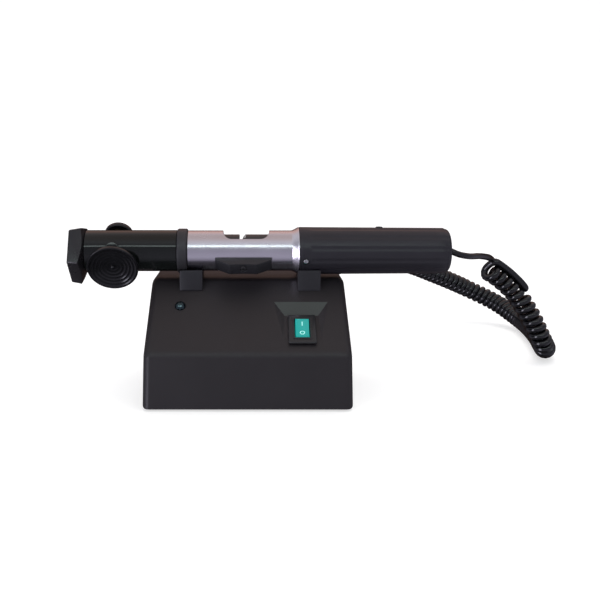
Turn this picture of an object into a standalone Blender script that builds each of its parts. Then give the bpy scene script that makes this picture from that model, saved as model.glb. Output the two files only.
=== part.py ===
"""Hand-held lensmeter lying in the two cradles of its wedge-shaped power base.

Frame: +X runs along the telescope from the eyepiece to the handle, +Y points to the back, +Z up.
The origin is on the table, under the middle of the telescope and of the base's depth.
A direction across the telescope is an angle in the YZ plane: 0 points to the front, 90 straight up.
"""
import math

import bmesh
import bpy
from mathutils import Matrix, Vector

# ---- driving dimensions, in metres and degrees ----
GAP = 0.0003                      # left between neighbouring pieces

# power base
BASE_CENTRE_X = -0.0064
BASE_WIDTH = 0.1124
BASE_DEPTH = 0.1000
BASE_BOTTOM = 0.0010
BASE_FRONT_TOP = 0.0302
BASE_TOP = 0.0653
SLOPE_ANGLE = 39.0
FRONT_DRAFT = 1.5
SIDE_DRAFT = 0.0255               # narrowing of each half width, in metres per metre of height
SHELL_WALL = 0.0028
CORNER_RADIUS = 0.0060             # front edge and back edge of the base
SIDE_RADIUS = 0.0040               # its edges at the sides
TOP_RADIUS = 0.0100               # where the slope meets the flat top
FOOT_RADIUS = 0.0050
PLATE_THICKNESS = 0.0020

# telescope, handle and their stations along X
EYE_END = -0.1067
AXIS_Y = -0.0050
AXIS_Z = 0.0804
TUBE_RADIUS = 0.0117
TUBE_BORE = 0.0102
NECK_RADIUS = 0.0115
NECK_BORE = 0.0100
RING_RADIUS = 0.0126
SPIGOT_RADIUS = 0.0097
HANDLE_RADIUS = 0.01345
HANDLE_END_RADIUS = 0.0129
INNER_RADIUS = 0.00925            # the two black cylinders seen in the lens window
TUBE_START = EYE_END + 0.0088
RING_START = -0.0462
RING_END = -0.0403
WINDOW_START = -0.0205
WINDOW_END = 0.0056
WINDOW_TILT = 8.0                 # the window faces up and this much to the back
WINDOW_HEIGHT = 0.0063            # its lower edge, above the telescope's axis
CONE_START = 0.0182
CONE_END = 0.0222
HANDLE_START = CONE_END + GAP
HANDLE_END = 0.1075
HANDLE_SCREW_X = 0.0259
HANDLE_SCREW_ANGLE = -21.0
LAMP_SCREW_X = 0.0678
BARREL_END = -0.0957              # inner end of the eyepiece barrel
EYECUP_RADIUS = 0.0177            # to a corner of its widest five-sided section
EYECUP_DROP = 0.0017              # how far that section's middle lies below the telescope's axis
EYECUP_TURN = -7.0

# focusing knobs, on a shaft line across the telescope
KNOB_X = -0.0815
KNOB_ANGLE = -30.0
FRONT_KNOB_RADIUS = 0.0143
REAR_KNOB_RADIUS = 0.0083
GEAR_MODULE = 0.0005
PINION_TEETH = 10
PITCH_RADIUS = GEAR_MODULE * PINION_TEETH / 2
TOOTH_PITCH = math.pi * GEAR_MODULE

# lens clamp: a thumb slide under the telescope's front
SLIDE_ANGLE = -30.0
SLIDE_START = -0.0247
SLIDE_END = 0.0068
SLIDE_WIDTH = 0.0068
SLIDE_TRAVEL = 0.0080

# cradles, by their middles along X
CRADLE_WIDTH = 0.0128
CRADLE_FRONT = -0.0150
CRADLE_BACK = 0.0050
CRADLE_TOP = 0.0704
CRADLE_X = {"left": -0.0383, "right": 0.02785}
CRADLE_SCREW_Y = 0.0025

# switch recess, switch and pilot light
SWITCH_X = 0.0229
RECESS_BOTTOM_Y = -0.0407
RECESS_TOP_Y = -0.0210
RECESS_ANGLE = 33.5
RECESS_DEPTH = 0.0016
RECESS_HALF_WIDTHS = (0.01035, 0.0092, 0.01495)   # lower edge, floor's upper edge, rim on the slope
SWITCH_UP = 0.0055                # switch middle, up the recess floor from its lower edge
SWITCH_SIZE = (0.0150, 0.0210)
ROCKER_TILT = 11.0
PILOT_X = -0.0438
PILOT_Y = -0.0233
INLET_X = -0.0300
INLET_Z = 0.0300

# cord
CORD_RADIUS = 0.0018
COIL_RADIUS = 0.0070
LEAD_ROUTE = [(107.55, -5, 80.4), (110.0, -5, 80.3), (115.1, -3.6, 78.5), (122.1, 1.5, 76.0),
              (130.1, 12, 74.8), (135.6, 24, 73.3), (138.4, 34.5, 71.9), (141.23, 42.05, 69.53),
              (144.36, 43.43, 67.46)]
COIL_ROUTE = [(142.3, 42.5, 63.0), (149.4, 45.5, 58.4), (156.8, 48, 52.5), (163.6, 49.5, 45.3),
              (173.4, 51, 30.4), (180.9, 53, 16.0), (186.2, 61, 8.7), (190.2, 79, 7.4),
              (194.2, 102, 7.4), (197.6, 130, 7.4), (197.9, 156, 8.4), (185.7, 178, 17.0),
              (166.8, 185, 26.1), (152.6, 180, 32.9), (133.5, 170, 41.5), (115.1, 155, 49.8),
              (91.8, 135, 57.5), (70.7, 112, 61.0), (55.8, 94, 60.1)]
TAIL_ROUTE = [(55.58, 93.73, 55.09), (53.0, 90.65, 54.9), (46.7, 83.0, 53.6), (39.6, 77.2, 52.1),
              (34.0, 73.2, 51.2), (31.9, 69.3, 51.0), (31.9, 65.35, 51.0)]
GLAND = (0.0319, BASE_DEPTH / 2, 0.0510)
GLAND_LENGTH = 0.0150

# side counts of round pieces
LARGE = 36
MEDIUM = 24
SMALL = 12

FRONT_SLOPE_Y = -BASE_DEPTH / 2
SLOPE = math.tan(math.radians(SLOPE_ANGLE))
SLOPE_TOP_Y = FRONT_SLOPE_Y + (BASE_TOP - BASE_FRONT_TOP) / SLOPE


# ---- scene, materials and object helpers ----
def clear_scene():
    for leftover in list(bpy.data.objects):
        bpy.data.objects.remove(leftover, do_unlink=True)


def new_collection(name):
    collection = bpy.data.collections.new(name)
    bpy.context.scene.collection.children.link(collection)
    return collection


clear_scene()
PARTS = new_collection("lensmeter")
CUTTERS = new_collection("cutters")


def finish(name, colour, roughness, metallic=0.0, transmission=0.0):
    """A plain Principled material."""
    material = bpy.data.materials.new(name)
    material.use_nodes = True
    shader = material.node_tree.nodes["Principled BSDF"]
    shader.inputs["Base Color"].default_value = (*colour, 1.0)
    shader.inputs["Roughness"].default_value = roughness
    shader.inputs["Metallic"].default_value = metallic
    shader.inputs["Transmission Weight"].default_value = transmission
    material.diffuse_color = (*colour, 1.0)
    return material


def add_object(name, mesh, material=None):
    """Links a mesh as a part, or as a cutter when it has no material."""
    obj = bpy.data.objects.new(name, mesh)
    if material is None:
        CUTTERS.objects.link(obj)
        obj.hide_render = True
        obj.display_type = "WIRE"
        return obj
    PARTS.objects.link(obj)
    mesh.materials.append(material)
    return obj


def aim(obj, x, angle):
    """Puts local Z across the telescope at an angle, with local X along it."""
    obj.location = (x, AXIS_Y, AXIS_Z)
    obj.rotation_euler = (math.radians(90 - angle), 0, 0)
    return obj


def along_axis(obj):
    """Puts local Z along the telescope: a profile's heights are then stations along X."""
    obj.location = (0, AXIS_Y, AXIS_Z)
    obj.rotation_euler = (0, math.radians(90), 0)
    return obj


def signed_area(points):
    pairs = zip(points, points[1:] + points[:1])
    return sum(x0 * y1 - x1 * y0 for (x0, y0), (x1, y1) in pairs) / 2


def turned(name, profile, material=None, sides=MEDIUM):
    """A profile of (radius, height) points turned about local Z. It may start and end on the axis."""
    closed = all(radius > 1e-7 for radius, _ in profile)
    points = profile if signed_area(profile) < 0 else profile[::-1]
    if not closed:
        start = next(i for i, p in enumerate(points) if p[0] < 1e-7 < points[(i + 1) % len(points)][0])
        points = points[start:] + points[:start]
    mesh = bpy.data.meshes.new(name)
    shape = bmesh.new()
    corners = [shape.verts.new((radius, 0, height)) for radius, height in points]
    for first, second in zip(corners, corners[1:]):
        shape.edges.new((first, second))
    if closed:
        shape.edges.new((corners[-1], corners[0]))
    shape.to_mesh(mesh)
    shape.free()
    obj = add_object(name, mesh, material)
    screw = obj.modifiers.new("turn", "SCREW")
    screw.steps = sides
    screw.render_steps = sides
    screw.use_merge_vertices = True
    screw.merge_threshold = 0.00001
    return obj


def rod(name, radius, low, high, material=None, sides=SMALL):
    """A plain cylinder along local Z."""
    mesh = bpy.data.meshes.new(name)
    shape = bmesh.new()
    bmesh.ops.create_cone(shape, cap_ends=True, segments=sides, radius1=radius, radius2=radius,
                          depth=high - low, matrix=Matrix.Translation((0, 0, (low + high) / 2)))
    shape.to_mesh(mesh)
    shape.free()
    return add_object(name, mesh, material)


def block(name, low, high, material=None, rounding=0.0):
    """A box between two corners, with its edges rounded off if asked."""
    size = Vector(high) - Vector(low)
    middle = (Vector(high) + Vector(low)) / 2
    mesh = bpy.data.meshes.new(name)
    shape = bmesh.new()
    bmesh.ops.create_cube(shape, size=1, matrix=Matrix.Translation(middle) @ Matrix.Diagonal((*size, 1)))
    if rounding:
        bmesh.ops.bevel(shape, geom=shape.edges[:], offset=rounding, segments=2, profile=0.5,
                        affect="EDGES")
    shape.to_mesh(mesh)
    shape.free()
    return add_object(name, mesh, material)


def sheet_solid(name, outline, half_thickness, material=None):
    """A flat outline in local XY, thickened both ways along local Z."""
    curve = bpy.data.curves.new(name, "CURVE")
    curve.dimensions = "2D"
    curve.fill_mode = "BOTH"
    curve.extrude = half_thickness
    spline = curve.splines.new("POLY")
    spline.points.add(len(outline) - 1)
    for point, (x, y) in zip(spline.points, outline):
        point.co = (x, y, 0, 1)
    spline.use_cyclic_u = True
    return from_curve(name, curve, material)


def from_curve(name, curve, material=None):
    """Turns a curve into a welded mesh object."""
    guide = bpy.data.objects.new(name + "_guide", curve)
    CUTTERS.objects.link(guide)
    evaluated = guide.evaluated_get(bpy.context.evaluated_depsgraph_get())
    mesh = bpy.data.meshes.new_from_object(evaluated)
    bpy.data.objects.remove(guide)
    shape = bmesh.new()
    shape.from_mesh(mesh)
    bmesh.ops.remove_doubles(shape, verts=shape.verts, dist=0.000001)
    bmesh.ops.recalc_face_normals(shape, faces=shape.faces)
    shape.to_mesh(mesh)
    shape.free()
    mesh.name = name
    return add_object(name, mesh, material)


def side_profile(name, outline, middle_x, half_width, material=None):
    """A solid whose (Y, Z) outline is carried along X on both sides of middle_x."""
    obj = sheet_solid(name, outline, half_width, material)
    turn = Matrix(((0, 0, 1, middle_x), (1, 0, 0, 0), (0, 1, 0, 0), (0, 0, 0, 1)))
    obj.data.transform(turn)
    return obj


def smooth_route(route, spacing):
    """Points in metres, evenly spaced along a smooth curve through the route's own points."""
    knots = [Vector(point) / 1000 for point in route]
    padded = [knots[0] * 2 - knots[1]] + knots + [knots[-1] * 2 - knots[-2]]
    fine = []
    for a, b, c, d in zip(padded, padded[1:], padded[2:], padded[3:]):
        for step in range(16):
            t = step / 16
            fine.append(0.5 * (2 * b + (c - a) * t + (2 * a - 5 * b + 4 * c - d) * t * t
                               + (3 * b - a - 3 * c + d) * t ** 3))
    fine.append(knots[-1])
    lengths = [0.0]
    for first, second in zip(fine, fine[1:]):
        lengths.append(lengths[-1] + (second - first).length)
    count = max(2, round(lengths[-1] / spacing))
    points = []
    index = 0
    for step in range(count + 1):
        reach = lengths[-1] * step / count
        while index < len(fine) - 2 and lengths[index + 1] < reach:
            index += 1
        share = (reach - lengths[index]) / (lengths[index + 1] - lengths[index])
        points.append(fine[index].lerp(fine[index + 1], min(1.0, share)))
    return points


def tube(name, points, radius, material=None, resolution=2):
    """A round solid along points, closed at both ends."""
    curve = bpy.data.curves.new(name, "CURVE")
    curve.dimensions = "3D"
    curve.bevel_depth = radius
    curve.bevel_resolution = resolution
    curve.use_fill_caps = True
    spline = curve.splines.new("POLY")
    spline.points.add(len(points) - 1)
    for slot, point in zip(spline.points, points):
        slot.co = (*point, 1)
    return from_curve(name, curve, material)


def boolean(obj, other, operation):
    modifier = obj.modifiers.new(other.name, "BOOLEAN")
    modifier.operation = operation
    modifier.object = other
    modifier.solver = "EXACT"


def cut(obj, *cutters):
    for cutter in cutters:
        boolean(obj, cutter, "DIFFERENCE")
    return obj


def join(obj, *others):
    for other in others:
        boolean(obj, other, "UNION")
    return obj


def smooth(obj, angle=35):
    """Round pieces are shaded smooth between flats."""
    shading = obj.data
    shading.shade_smooth()
    shading.set_sharp_from_angle(angle=math.radians(angle))
    return obj


def slope_z(y):
    """Height of the base's sloping face."""
    return min(BASE_TOP, BASE_FRONT_TOP + (y - FRONT_SLOPE_Y) * SLOPE)


BLACK_PLASTIC = finish("base_plastic", (0.035, 0.033, 0.034), 0.55)
BLACK_GLOSS = finish("black_gloss", (0.012, 0.013, 0.014), 0.22)
HANDLE_BLACK = finish("handle_black", (0.035, 0.034, 0.040), 0.40)
RING_BLACK = finish("ring_black", (0.060, 0.060, 0.065), 0.50)
ALUMINIUM = finish("satin_aluminium", (0.62, 0.60, 0.64), 0.30, 1.0)
STEEL = finish("bright_steel", (0.60, 0.60, 0.60), 0.25, 1.0)
BRASS = finish("brass", (0.70, 0.52, 0.25), 0.30, 1.0)
GLASS = finish("glass", (0.90, 0.93, 0.95), 0.02, 0.0, 1.0)
RUBBER = finish("rubber", (0.020, 0.020, 0.020), 0.80)
CORD_BLACK = finish("cord_black", (0.010, 0.010, 0.011), 0.25)
ROCKER_GREEN = finish("rocker_green", (0.010, 0.430, 0.380), 0.25, 0.0, 0.3)
LAMINATION = finish("lamination_steel", (0.25, 0.25, 0.27), 0.45, 1.0)
COPPER = finish("winding_tape", (0.65, 0.42, 0.10), 0.50)


# ---- power base ----
def base_outline(inset, bottom):
    """(Y, Z) outline of the base, moved in by the inset, with rounded upper corners."""
    back = BASE_DEPTH / 2
    sides = [((back, bottom), 180, 0), ((-back, BASE_BOTTOM), 90 - FRONT_DRAFT, inset),
             ((FRONT_SLOPE_Y, BASE_FRONT_TOP), SLOPE_ANGLE, inset), ((back, BASE_TOP), 0, inset),
             ((back, BASE_BOTTOM), -90, inset)]
    lines = []
    for point, direction, offset in sides:
        along = Vector((math.cos(math.radians(direction)), math.sin(math.radians(direction))))
        lines.append((Vector(point) + Vector((along.y, -along.x)) * offset, along))
    corners = [crossing(line, lines[(i + 1) % len(lines)]) for i, line in enumerate(lines)]
    small = CORNER_RADIUS - inset / 2
    radii = [0, small, TOP_RADIUS, small, 0]
    outline = []
    for i, (corner, radius) in enumerate(zip(corners, radii)):
        outline += rounded_corner(corners[i - 1], corner, corners[(i + 1) % len(corners)], radius)
    return outline


def crossing(first, second):
    """Where two lines, each a point and a direction, meet."""
    (start, along), (other, across) = first, second
    gap = other - start
    reach = (gap.x * across.y - gap.y * across.x) / (along.x * across.y - along.y * across.x)
    return tuple(start + along * reach)


def rounded_corner(before, corner, after, radius, steps=4):
    """The corner itself, or an arc of the radius that joins its two sides."""
    if radius <= 0:
        return [corner]
    here = Vector(corner)
    back = (Vector(before) - here).normalized()
    ahead = (Vector(after) - here).normalized()
    half = back.angle(ahead) / 2
    reach = radius / math.tan(half)
    centre = here + (back + ahead).normalized() * radius / math.sin(half)
    start = here + back * reach - centre
    sweep = (here + ahead * reach - centre).angle_signed(start)
    turns = [Matrix.Rotation(sweep * step / steps, 2) for step in range(steps + 1)]
    return [tuple(centre + turn @ start) for turn in turns]


def base_block(name, inset, bottom, side_radius, material=None):
    """The base's outer form, or the hollow inside it, with drafted sides and rounded side edges."""
    half_width = BASE_WIDTH / 2 - inset
    obj = side_profile(name, base_outline(inset, bottom), 0, half_width, material)
    shape = bmesh.new()
    shape.from_mesh(obj.data)
    rim = []
    for edge in shape.edges:
        low, high = edge.verts
        on_side = low.co.x * high.co.x > 0 and abs(abs(low.co.x) - half_width) < 1e-5
        flat = abs(low.co.z - bottom) < 1e-6 and abs(high.co.z - bottom) < 1e-6
        if on_side and abs(low.co.x - high.co.x) < 1e-6 and not flat and len(edge.link_faces) == 2:
            normals = [face.normal for face in edge.link_faces]
            if normals[0].dot(normals[1]) < 0.5:
                rim.append(edge)
    bmesh.ops.bevel(shape, geom=rim, offset=side_radius, segments=3, profile=0.5, affect="EDGES",
                    clamp_overlap=False)
    for corner in shape.verts:
        corner.co.x *= 1 - SIDE_DRAFT * (corner.co.z - BASE_BOTTOM) / (BASE_WIDTH / 2)
        corner.co.x += BASE_CENTRE_X
    shape.to_mesh(obj.data)
    shape.free()
    return obj


def recess_frame():
    """Local X across, local Y up the recess floor and local Z out of it, from its lower edge."""
    turn = Matrix.Rotation(math.radians(RECESS_ANGLE), 4, "X")
    return Matrix.Translation((SWITCH_X, RECESS_BOTTOM_Y, slope_z(RECESS_BOTTOM_Y))) @ turn


def recess_cutter():
    """The shallow recess round the switch: its floor is flatter than the slope above it."""
    frame = recess_frame()
    floor_length = RECESS_DEPTH / math.sin(math.radians(SLOPE_ANGLE - RECESS_ANGLE))
    lower, upper, rim = RECESS_HALF_WIDTHS
    low = Vector((lower, 0, 0))
    high = Vector((upper, floor_length, 0))
    edge = frame.inverted() @ Vector((SWITCH_X + rim, RECESS_TOP_Y, slope_z(RECESS_TOP_Y)))
    wall = (edge - high) * 1.6
    mesh = bpy.data.meshes.new("recess_cutter")
    shape = bmesh.new()
    for side in (-1, 1):
        for point in (low, high, low + wall, high + wall):
            shape.verts.new((side * point.x, point.y, point.z))
    bmesh.ops.convex_hull(shape, input=shape.verts)
    shape.to_mesh(mesh)
    shape.free()
    cutter = add_object("recess_cutter", mesh)
    cutter.matrix_world = frame
    return cutter


def on_slope(obj, x, y):
    """Puts local Z square out of the sloping face."""
    obj.location = (x, y, slope_z(y))
    obj.rotation_euler = (math.radians(SLOPE_ANGLE), 0, 0)
    return obj


def on_back(obj, x, z):
    """Puts local Z straight out of the base's back, with local X reversed."""
    obj.location = (x, BASE_DEPTH / 2, z)
    obj.rotation_euler = (math.radians(-90), 0, 0)
    return obj


def make_base():
    housing = base_block("base_housing", 0, BASE_BOTTOM, SIDE_RADIUS, BLACK_PLASTIC)
    hollow = base_block("hollow_cutter", SHELL_WALL, BASE_BOTTOM - 0.004, SIDE_RADIUS - SHELL_WALL)
    cut(housing, hollow, recess_cutter())
    opening = block("switch_cutter", (-0.0065, -0.0095, -0.02), (0.0065, 0.0095, 0.01))
    opening.matrix_world = recess_frame() @ Matrix.Translation((0, SWITCH_UP, 0))
    cut(housing, opening)
    cut(housing, on_slope(rod("pilot_cutter", 0.0031, -0.01, 0.01), PILOT_X, PILOT_Y))
    cut(housing, on_back(rod("gland_cutter", 0.0042, -0.01, 0.01), GLAND[0], GLAND[2]))
    cut(housing, on_back(block("inlet_cutter", (-0.0103, -0.0063, -0.01), (0.0103, 0.0063, 0.01)),
                         INLET_X, INLET_Z))
    for side, x in CRADLE_X.items():
        hole = rod(f"cradle_{side}_hole", 0.0018, 0.045, CRADLE_TOP - 0.0023)
        hole.location = (x, CRADLE_SCREW_Y, 0)
        cut(housing, hole)
        make_cradle(side, x, hole)
    make_plate()


def make_cradle(side, x, hole):
    """A post that stands on the slope, with a saddle for the tube."""
    outline = [(CRADLE_FRONT, slope_z(CRADLE_FRONT) + GAP / math.cos(math.radians(SLOPE_ANGLE))),
               (SLOPE_TOP_Y - 0.0018, slope_z(SLOPE_TOP_Y - 0.0018) + 0.0005),
               (SLOPE_TOP_Y + 0.0020, BASE_TOP + GAP), (CRADLE_BACK, BASE_TOP + GAP),
               (CRADLE_BACK, CRADLE_TOP), (CRADLE_FRONT, CRADLE_TOP)]
    cradle = side_profile(f"cradle_{side}", outline, x, CRADLE_WIDTH / 2, BLACK_PLASTIC)
    if side == "left":
        saddle = [(0, -0.06), (RING_RADIUS + GAP, -0.06), (RING_RADIUS + GAP, RING_END + 0.0002),
                  (NECK_RADIUS + GAP, RING_END + 0.0002), (NECK_RADIUS + GAP, 0), (0, 0)]
    else:
        saddle = [(0, 0), (NECK_RADIUS + GAP, 0), (NECK_RADIUS + GAP, CONE_START - GAP),
                  (HANDLE_RADIUS + GAP, CONE_END - GAP), (HANDLE_RADIUS + GAP, 0.05), (0, 0.05)]
    cut(cradle, along_axis(turned(f"saddle_{side}_cutter", saddle, sides=LARGE)), hole)
    screw = turned(f"cradle_screw_{side}", screw_profile(0.0015, 0.0028, 0.0016, 0.0055), STEEL, SMALL)
    screw.location = (x, CRADLE_SCREW_Y, BASE_TOP - SHELL_WALL - GAP)
    smooth(screw)


def screw_profile(shank, head, head_height, length):
    """A pan-head screw that points up, with its head below zero."""
    return [(0, length), (shank, length), (shank, 0), (head, 0), (head, -head_height * 0.6),
            (head * 0.7, -head_height), (0, -head_height)]


def make_plate():
    """Bottom cover, its screws and the rubber feet."""
    low = BASE_BOTTOM + 0.0006
    inner = BASE_WIDTH / 2 - SHELL_WALL - 0.0006
    reach = BASE_DEPTH / 2 - SHELL_WALL - 0.0006
    corners = [(-inner, -reach), (inner, -reach), (inner, reach), (-inner, reach)]
    outline = []
    for i, corner in enumerate(corners):
        outline += rounded_corner(corners[i - 1], corner, corners[(i + 1) % 4], CORNER_RADIUS)
    plate = sheet_solid("base_plate", outline, PLATE_THICKNESS / 2, BLACK_PLASTIC)
    plate.location = (BASE_CENTRE_X, 0, low + PLATE_THICKNESS / 2)
    for edge_x, side in ((-1, "left"), (1, "right")):
        for edge_y, end in ((-1, "front"), (1, "back")):
            x = BASE_CENTRE_X + edge_x * (inner - 0.009)
            y = edge_y * (reach - 0.009)
            foot = turned(f"foot_{end}_{side}", [(0, 0), (FOOT_RADIUS - 0.0006, 0), (FOOT_RADIUS, 0.0006),
                                                 (FOOT_RADIUS, low - GAP), (0, low - GAP)], RUBBER, SMALL)
            foot.location = (x, y, 0)
            smooth(foot)
            inward = x - edge_x * 0.0095
            hole = rod(f"plate_hole_{end}_{side}", 0.0015, -0.01, 0.02)
            hole.location = (inward, y, 0)
            cut(plate, hole)
            screw = turned(f"plate_screw_{end}_{side}",
                           [(0, 0.0095), (0.0012, 0.0095), (0.0012, low - GAP), (0.0026, low - GAP),
                            (0.0026, low - 0.0009), (0.0018, low - 0.0013), (0, low - 0.0013)],
                           STEEL, SMALL)
            screw.location = (inward, y, 0)
            smooth(screw)


def make_transformer():
    """Lamp supply: a laminated core round a wound bobbin, standing on the cover."""
    floor = BASE_BOTTOM + 0.0006 + PLATE_THICKNESS + GAP
    x = BASE_CENTRE_X - 0.008
    y = 0.016
    core = block("transformer_core", (x - 0.021, y - 0.009, floor), (x + 0.021, y + 0.009, floor + 0.035),
                 LAMINATION)
    for side in (-1, 1):
        near = x + side * 0.007
        far = x + side * 0.014
        cut(core, block(f"core_window_{'left' if side < 0 else 'right'}",
                        (min(near, far), y - 0.02, floor + 0.007), (max(near, far), y + 0.02, floor + 0.028)))
    winding = block("transformer_winding", (x - 0.0137, y - 0.015, floor + 0.0073),
                    (x + 0.0137, y + 0.015, floor + 0.0277), COPPER, 0.0)
    cut(winding, block("bobbin_bore", (x - 0.0073, y - 0.0093, floor - 0.01),
                       (x + 0.0073, y + 0.0093, floor + 0.05)))


def make_switch():
    """Snap-in rocker switch: a bezel and body, and the rocker that tips in it."""
    frame = recess_frame() @ Matrix.Translation((0, SWITCH_UP, 0))
    half_x = SWITCH_SIZE[0] / 2
    half_y = SWITCH_SIZE[1] / 2
    body = block("switch_body", (-half_x, -half_y, GAP), (half_x, half_y, 0.0016), BLACK_GLOSS, 0.0005)
    body.matrix_world = frame
    lower = block("switch_lower", (-0.0062, -0.0092, -0.012), (0.0062, 0.0092, 0.0012))
    lower.matrix_world = frame
    well = block("switch_well", (-0.0041, -0.0069, -0.0085), (0.0041, 0.0069, 0.01))
    well.matrix_world = frame
    join(body, lower)
    cut(body, well)
    outline = [(-0.0060, -0.0030), (-0.0060, 0.0024), (-0.0051, 0.0028), (0, 0.0016), (0.0051, 0.0028),
               (0.0060, 0.0024), (0.0060, -0.0030), (0, -0.0065)]
    rocker = sheet_solid("switch_rocker", outline, 0.0037, ROCKER_GREEN)
    turn = Matrix(((0, 0, 1, 0), (1, 0, 0, 0), (0, 1, 0, 0), (0, 0, 0, 1)))
    rocker.data.transform(turn)
    rocker.matrix_world = frame @ Matrix.Rotation(math.radians(ROCKER_TILT), 4, "X")


def make_pilot():
    """Pilot light: a faceted lens in the slope, its holder and the lamp inside."""
    lens = turned("indicator_lens", [(0, 0.0022), (0.0012, 0.0021), (0.0026, 0.0012), (0.0031, GAP),
                                     (0.0028, GAP), (0.0028, -0.0040), (0.0018, -0.0040),
                                     (0.0018, -0.0004), (0, -0.0004)], GLASS, 10)
    on_slope(lens, PILOT_X, PILOT_Y)
    holder = turned("indicator_holder", [(0.0029, -SHELL_WALL - GAP), (0.0045, -SHELL_WALL - GAP),
                                         (0.0045, -0.0140), (0.0020, -0.0140), (0.0020, -0.0043),
                                         (0.0029, -0.0043)], BLACK_PLASTIC, SMALL)
    on_slope(smooth(holder), PILOT_X, PILOT_Y)
    lamp = turned("indicator_lamp", [(0, -0.0014), (0.0010, -0.0018), (0.0014, -0.0028),
                                     (0.0014, -0.0120), (0, -0.0120)], GLASS, SMALL)
    on_slope(smooth(lamp), PILOT_X, PILOT_Y)


def make_inlet():
    """Two-pin mains socket in the back."""
    inside = -SHELL_WALL - GAP
    inlet = block("mains_inlet", (-0.0130, -0.0085, inside - 0.0015), (0.0130, 0.0085, inside),
                  BLACK_PLASTIC)
    body = block("inlet_body", (-0.0100, -0.0060, -0.0155), (0.0100, 0.0060, -GAP))
    socket = block("inlet_socket", (-0.0088, -0.0046, -0.0130), (0.0088, 0.0046, 0.0100))
    join(inlet, on_back(body, INLET_X, INLET_Z))
    cut(inlet, on_back(socket, INLET_X, INLET_Z))
    for side in (-1, 1):
        pin = rod(f"inlet_pin_{'left' if side < 0 else 'right'}", 0.0012, -0.0140, -0.0030, sides=12)
        join(inlet, on_back(pin, INLET_X + side * 0.0043, INLET_Z))
    on_back(inlet, INLET_X, INLET_Z)


# ---- telescope ----
def make_telescope():
    tube_back = RING_START - GAP
    telescope = turned("telescope_tube", [(TUBE_RADIUS, TUBE_START), (TUBE_RADIUS, tube_back),
                                          (SPIGOT_RADIUS, tube_back), (SPIGOT_RADIUS, -0.0283),
                                          (0.0082, -0.0283), (0.0082, -0.0500), (TUBE_BORE, -0.0500),
                                          (TUBE_BORE, TUBE_START)], BLACK_GLOSS, LARGE)
    along_axis(smooth(telescope))
    for side, angle in (("front", KNOB_ANGLE), ("rear", KNOB_ANGLE + 180)):
        cut(telescope, aim(rod(f"bush_{side}_hole", 0.0034, 0.005, 0.02), KNOB_X, angle))
        bush = turned(f"{side}_bush", [(0.0031, 0.0097), (0.0031, 0.0120), (0.0046, 0.0120),
                                       (0.0046, 0.0131), (0.0015, 0.0131), (0.0015, 0.0097)],
                      BRASS, SMALL)
        aim(smooth(bush), KNOB_X, angle)
    ring = turned("axis_ring", [(RING_RADIUS - 0.0004, RING_START), (RING_RADIUS, RING_START + 0.0004),
                                (RING_RADIUS, RING_END - GAP - 0.0004),
                                (RING_RADIUS - 0.0004, RING_END - GAP),
                                (NECK_BORE, RING_END - GAP), (NECK_BORE, RING_START)],
                  RING_BLACK, LARGE)
    along_axis(smooth(ring))
    neck = turned("neck_tube", [(NECK_RADIUS, RING_END), (NECK_RADIUS, CONE_START),
                                (HANDLE_RADIUS, CONE_END), (0.0112, CONE_END), (0.0112, 0.0520),
                                (NECK_BORE, 0.0520), (NECK_BORE, RING_END)], ALUMINIUM, LARGE)
    along_axis(smooth(neck))
    cut(neck, window_cutter())
    slot_end = SLIDE_END - 0.0002
    cut(neck, aim(block("slide_slot", (-0.0113, -0.0018, 0.0085), (slot_end, 0.0018, 0.0140)),
                  0, SLIDE_ANGLE))
    for side, angle in (("front", HANDLE_SCREW_ANGLE), ("rear", HANDLE_SCREW_ANGLE + 180)):
        cut(neck, aim(rod(f"neck_hole_{side}", 0.0012, 0.008, 0.0128), HANDLE_SCREW_X, angle))
    stop = turned("lens_stop", [(SPIGOT_RADIUS, -0.0280), (SPIGOT_RADIUS, -0.0225),
                                (INNER_RADIUS, -0.0225), (INNER_RADIUS, -0.0116),
                                (INNER_RADIUS - 0.0004, -0.0112), (0.0070, -0.0112),
                                (0.0070, -0.0280)], BLACK_GLOSS, LARGE)
    along_axis(smooth(stop))
    lens("objective_lens", -0.0520, 0.0096, 0.0018)


def window_cutter():
    """The lens window: straight ends, with rounded lower corners."""
    radius = 0.0050
    outline = [(WINDOW_START, 0.02)]
    outline += [(WINDOW_START + radius - radius * math.cos(a), WINDOW_HEIGHT + radius - radius * math.sin(a))
                for a in (math.radians(15 * k) for k in range(7))]
    outline += [(WINDOW_END - radius + radius * math.sin(a), WINDOW_HEIGHT + radius - radius * math.cos(a))
                for a in (math.radians(15 * k) for k in range(7))]
    outline += [(WINDOW_END, 0.02)]
    cutter = sheet_solid("window_cutter", outline, 0.02)
    cutter.data.transform(Matrix.Rotation(math.radians(90), 4, "X"))
    cutter.location = (0, AXIS_Y, AXIS_Z)
    cutter.rotation_euler = (math.radians(-WINDOW_TILT), 0, 0)
    return cutter


def lens(name, middle, radius, thickness, crown=0.0009, material=GLASS):
    """A lens with two crowned faces, square to the telescope's axis."""
    steps = 2 if crown else 1
    rim = thickness / 2
    front = [(radius * k / steps, middle + rim + crown * (1 - (k / steps) ** 2)) for k in range(steps + 1)]
    back = [(radius * k / steps, middle - rim - crown * (1 - (k / steps) ** 2))
            for k in range(steps, -1, -1)]
    return along_axis(smooth(turned(name, front + back, material)))


def handle_radius(x):
    share = (x - HANDLE_START) / (HANDLE_END - HANDLE_START)
    return HANDLE_RADIUS + (HANDLE_END_RADIUS - HANDLE_RADIUS) * share


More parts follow.
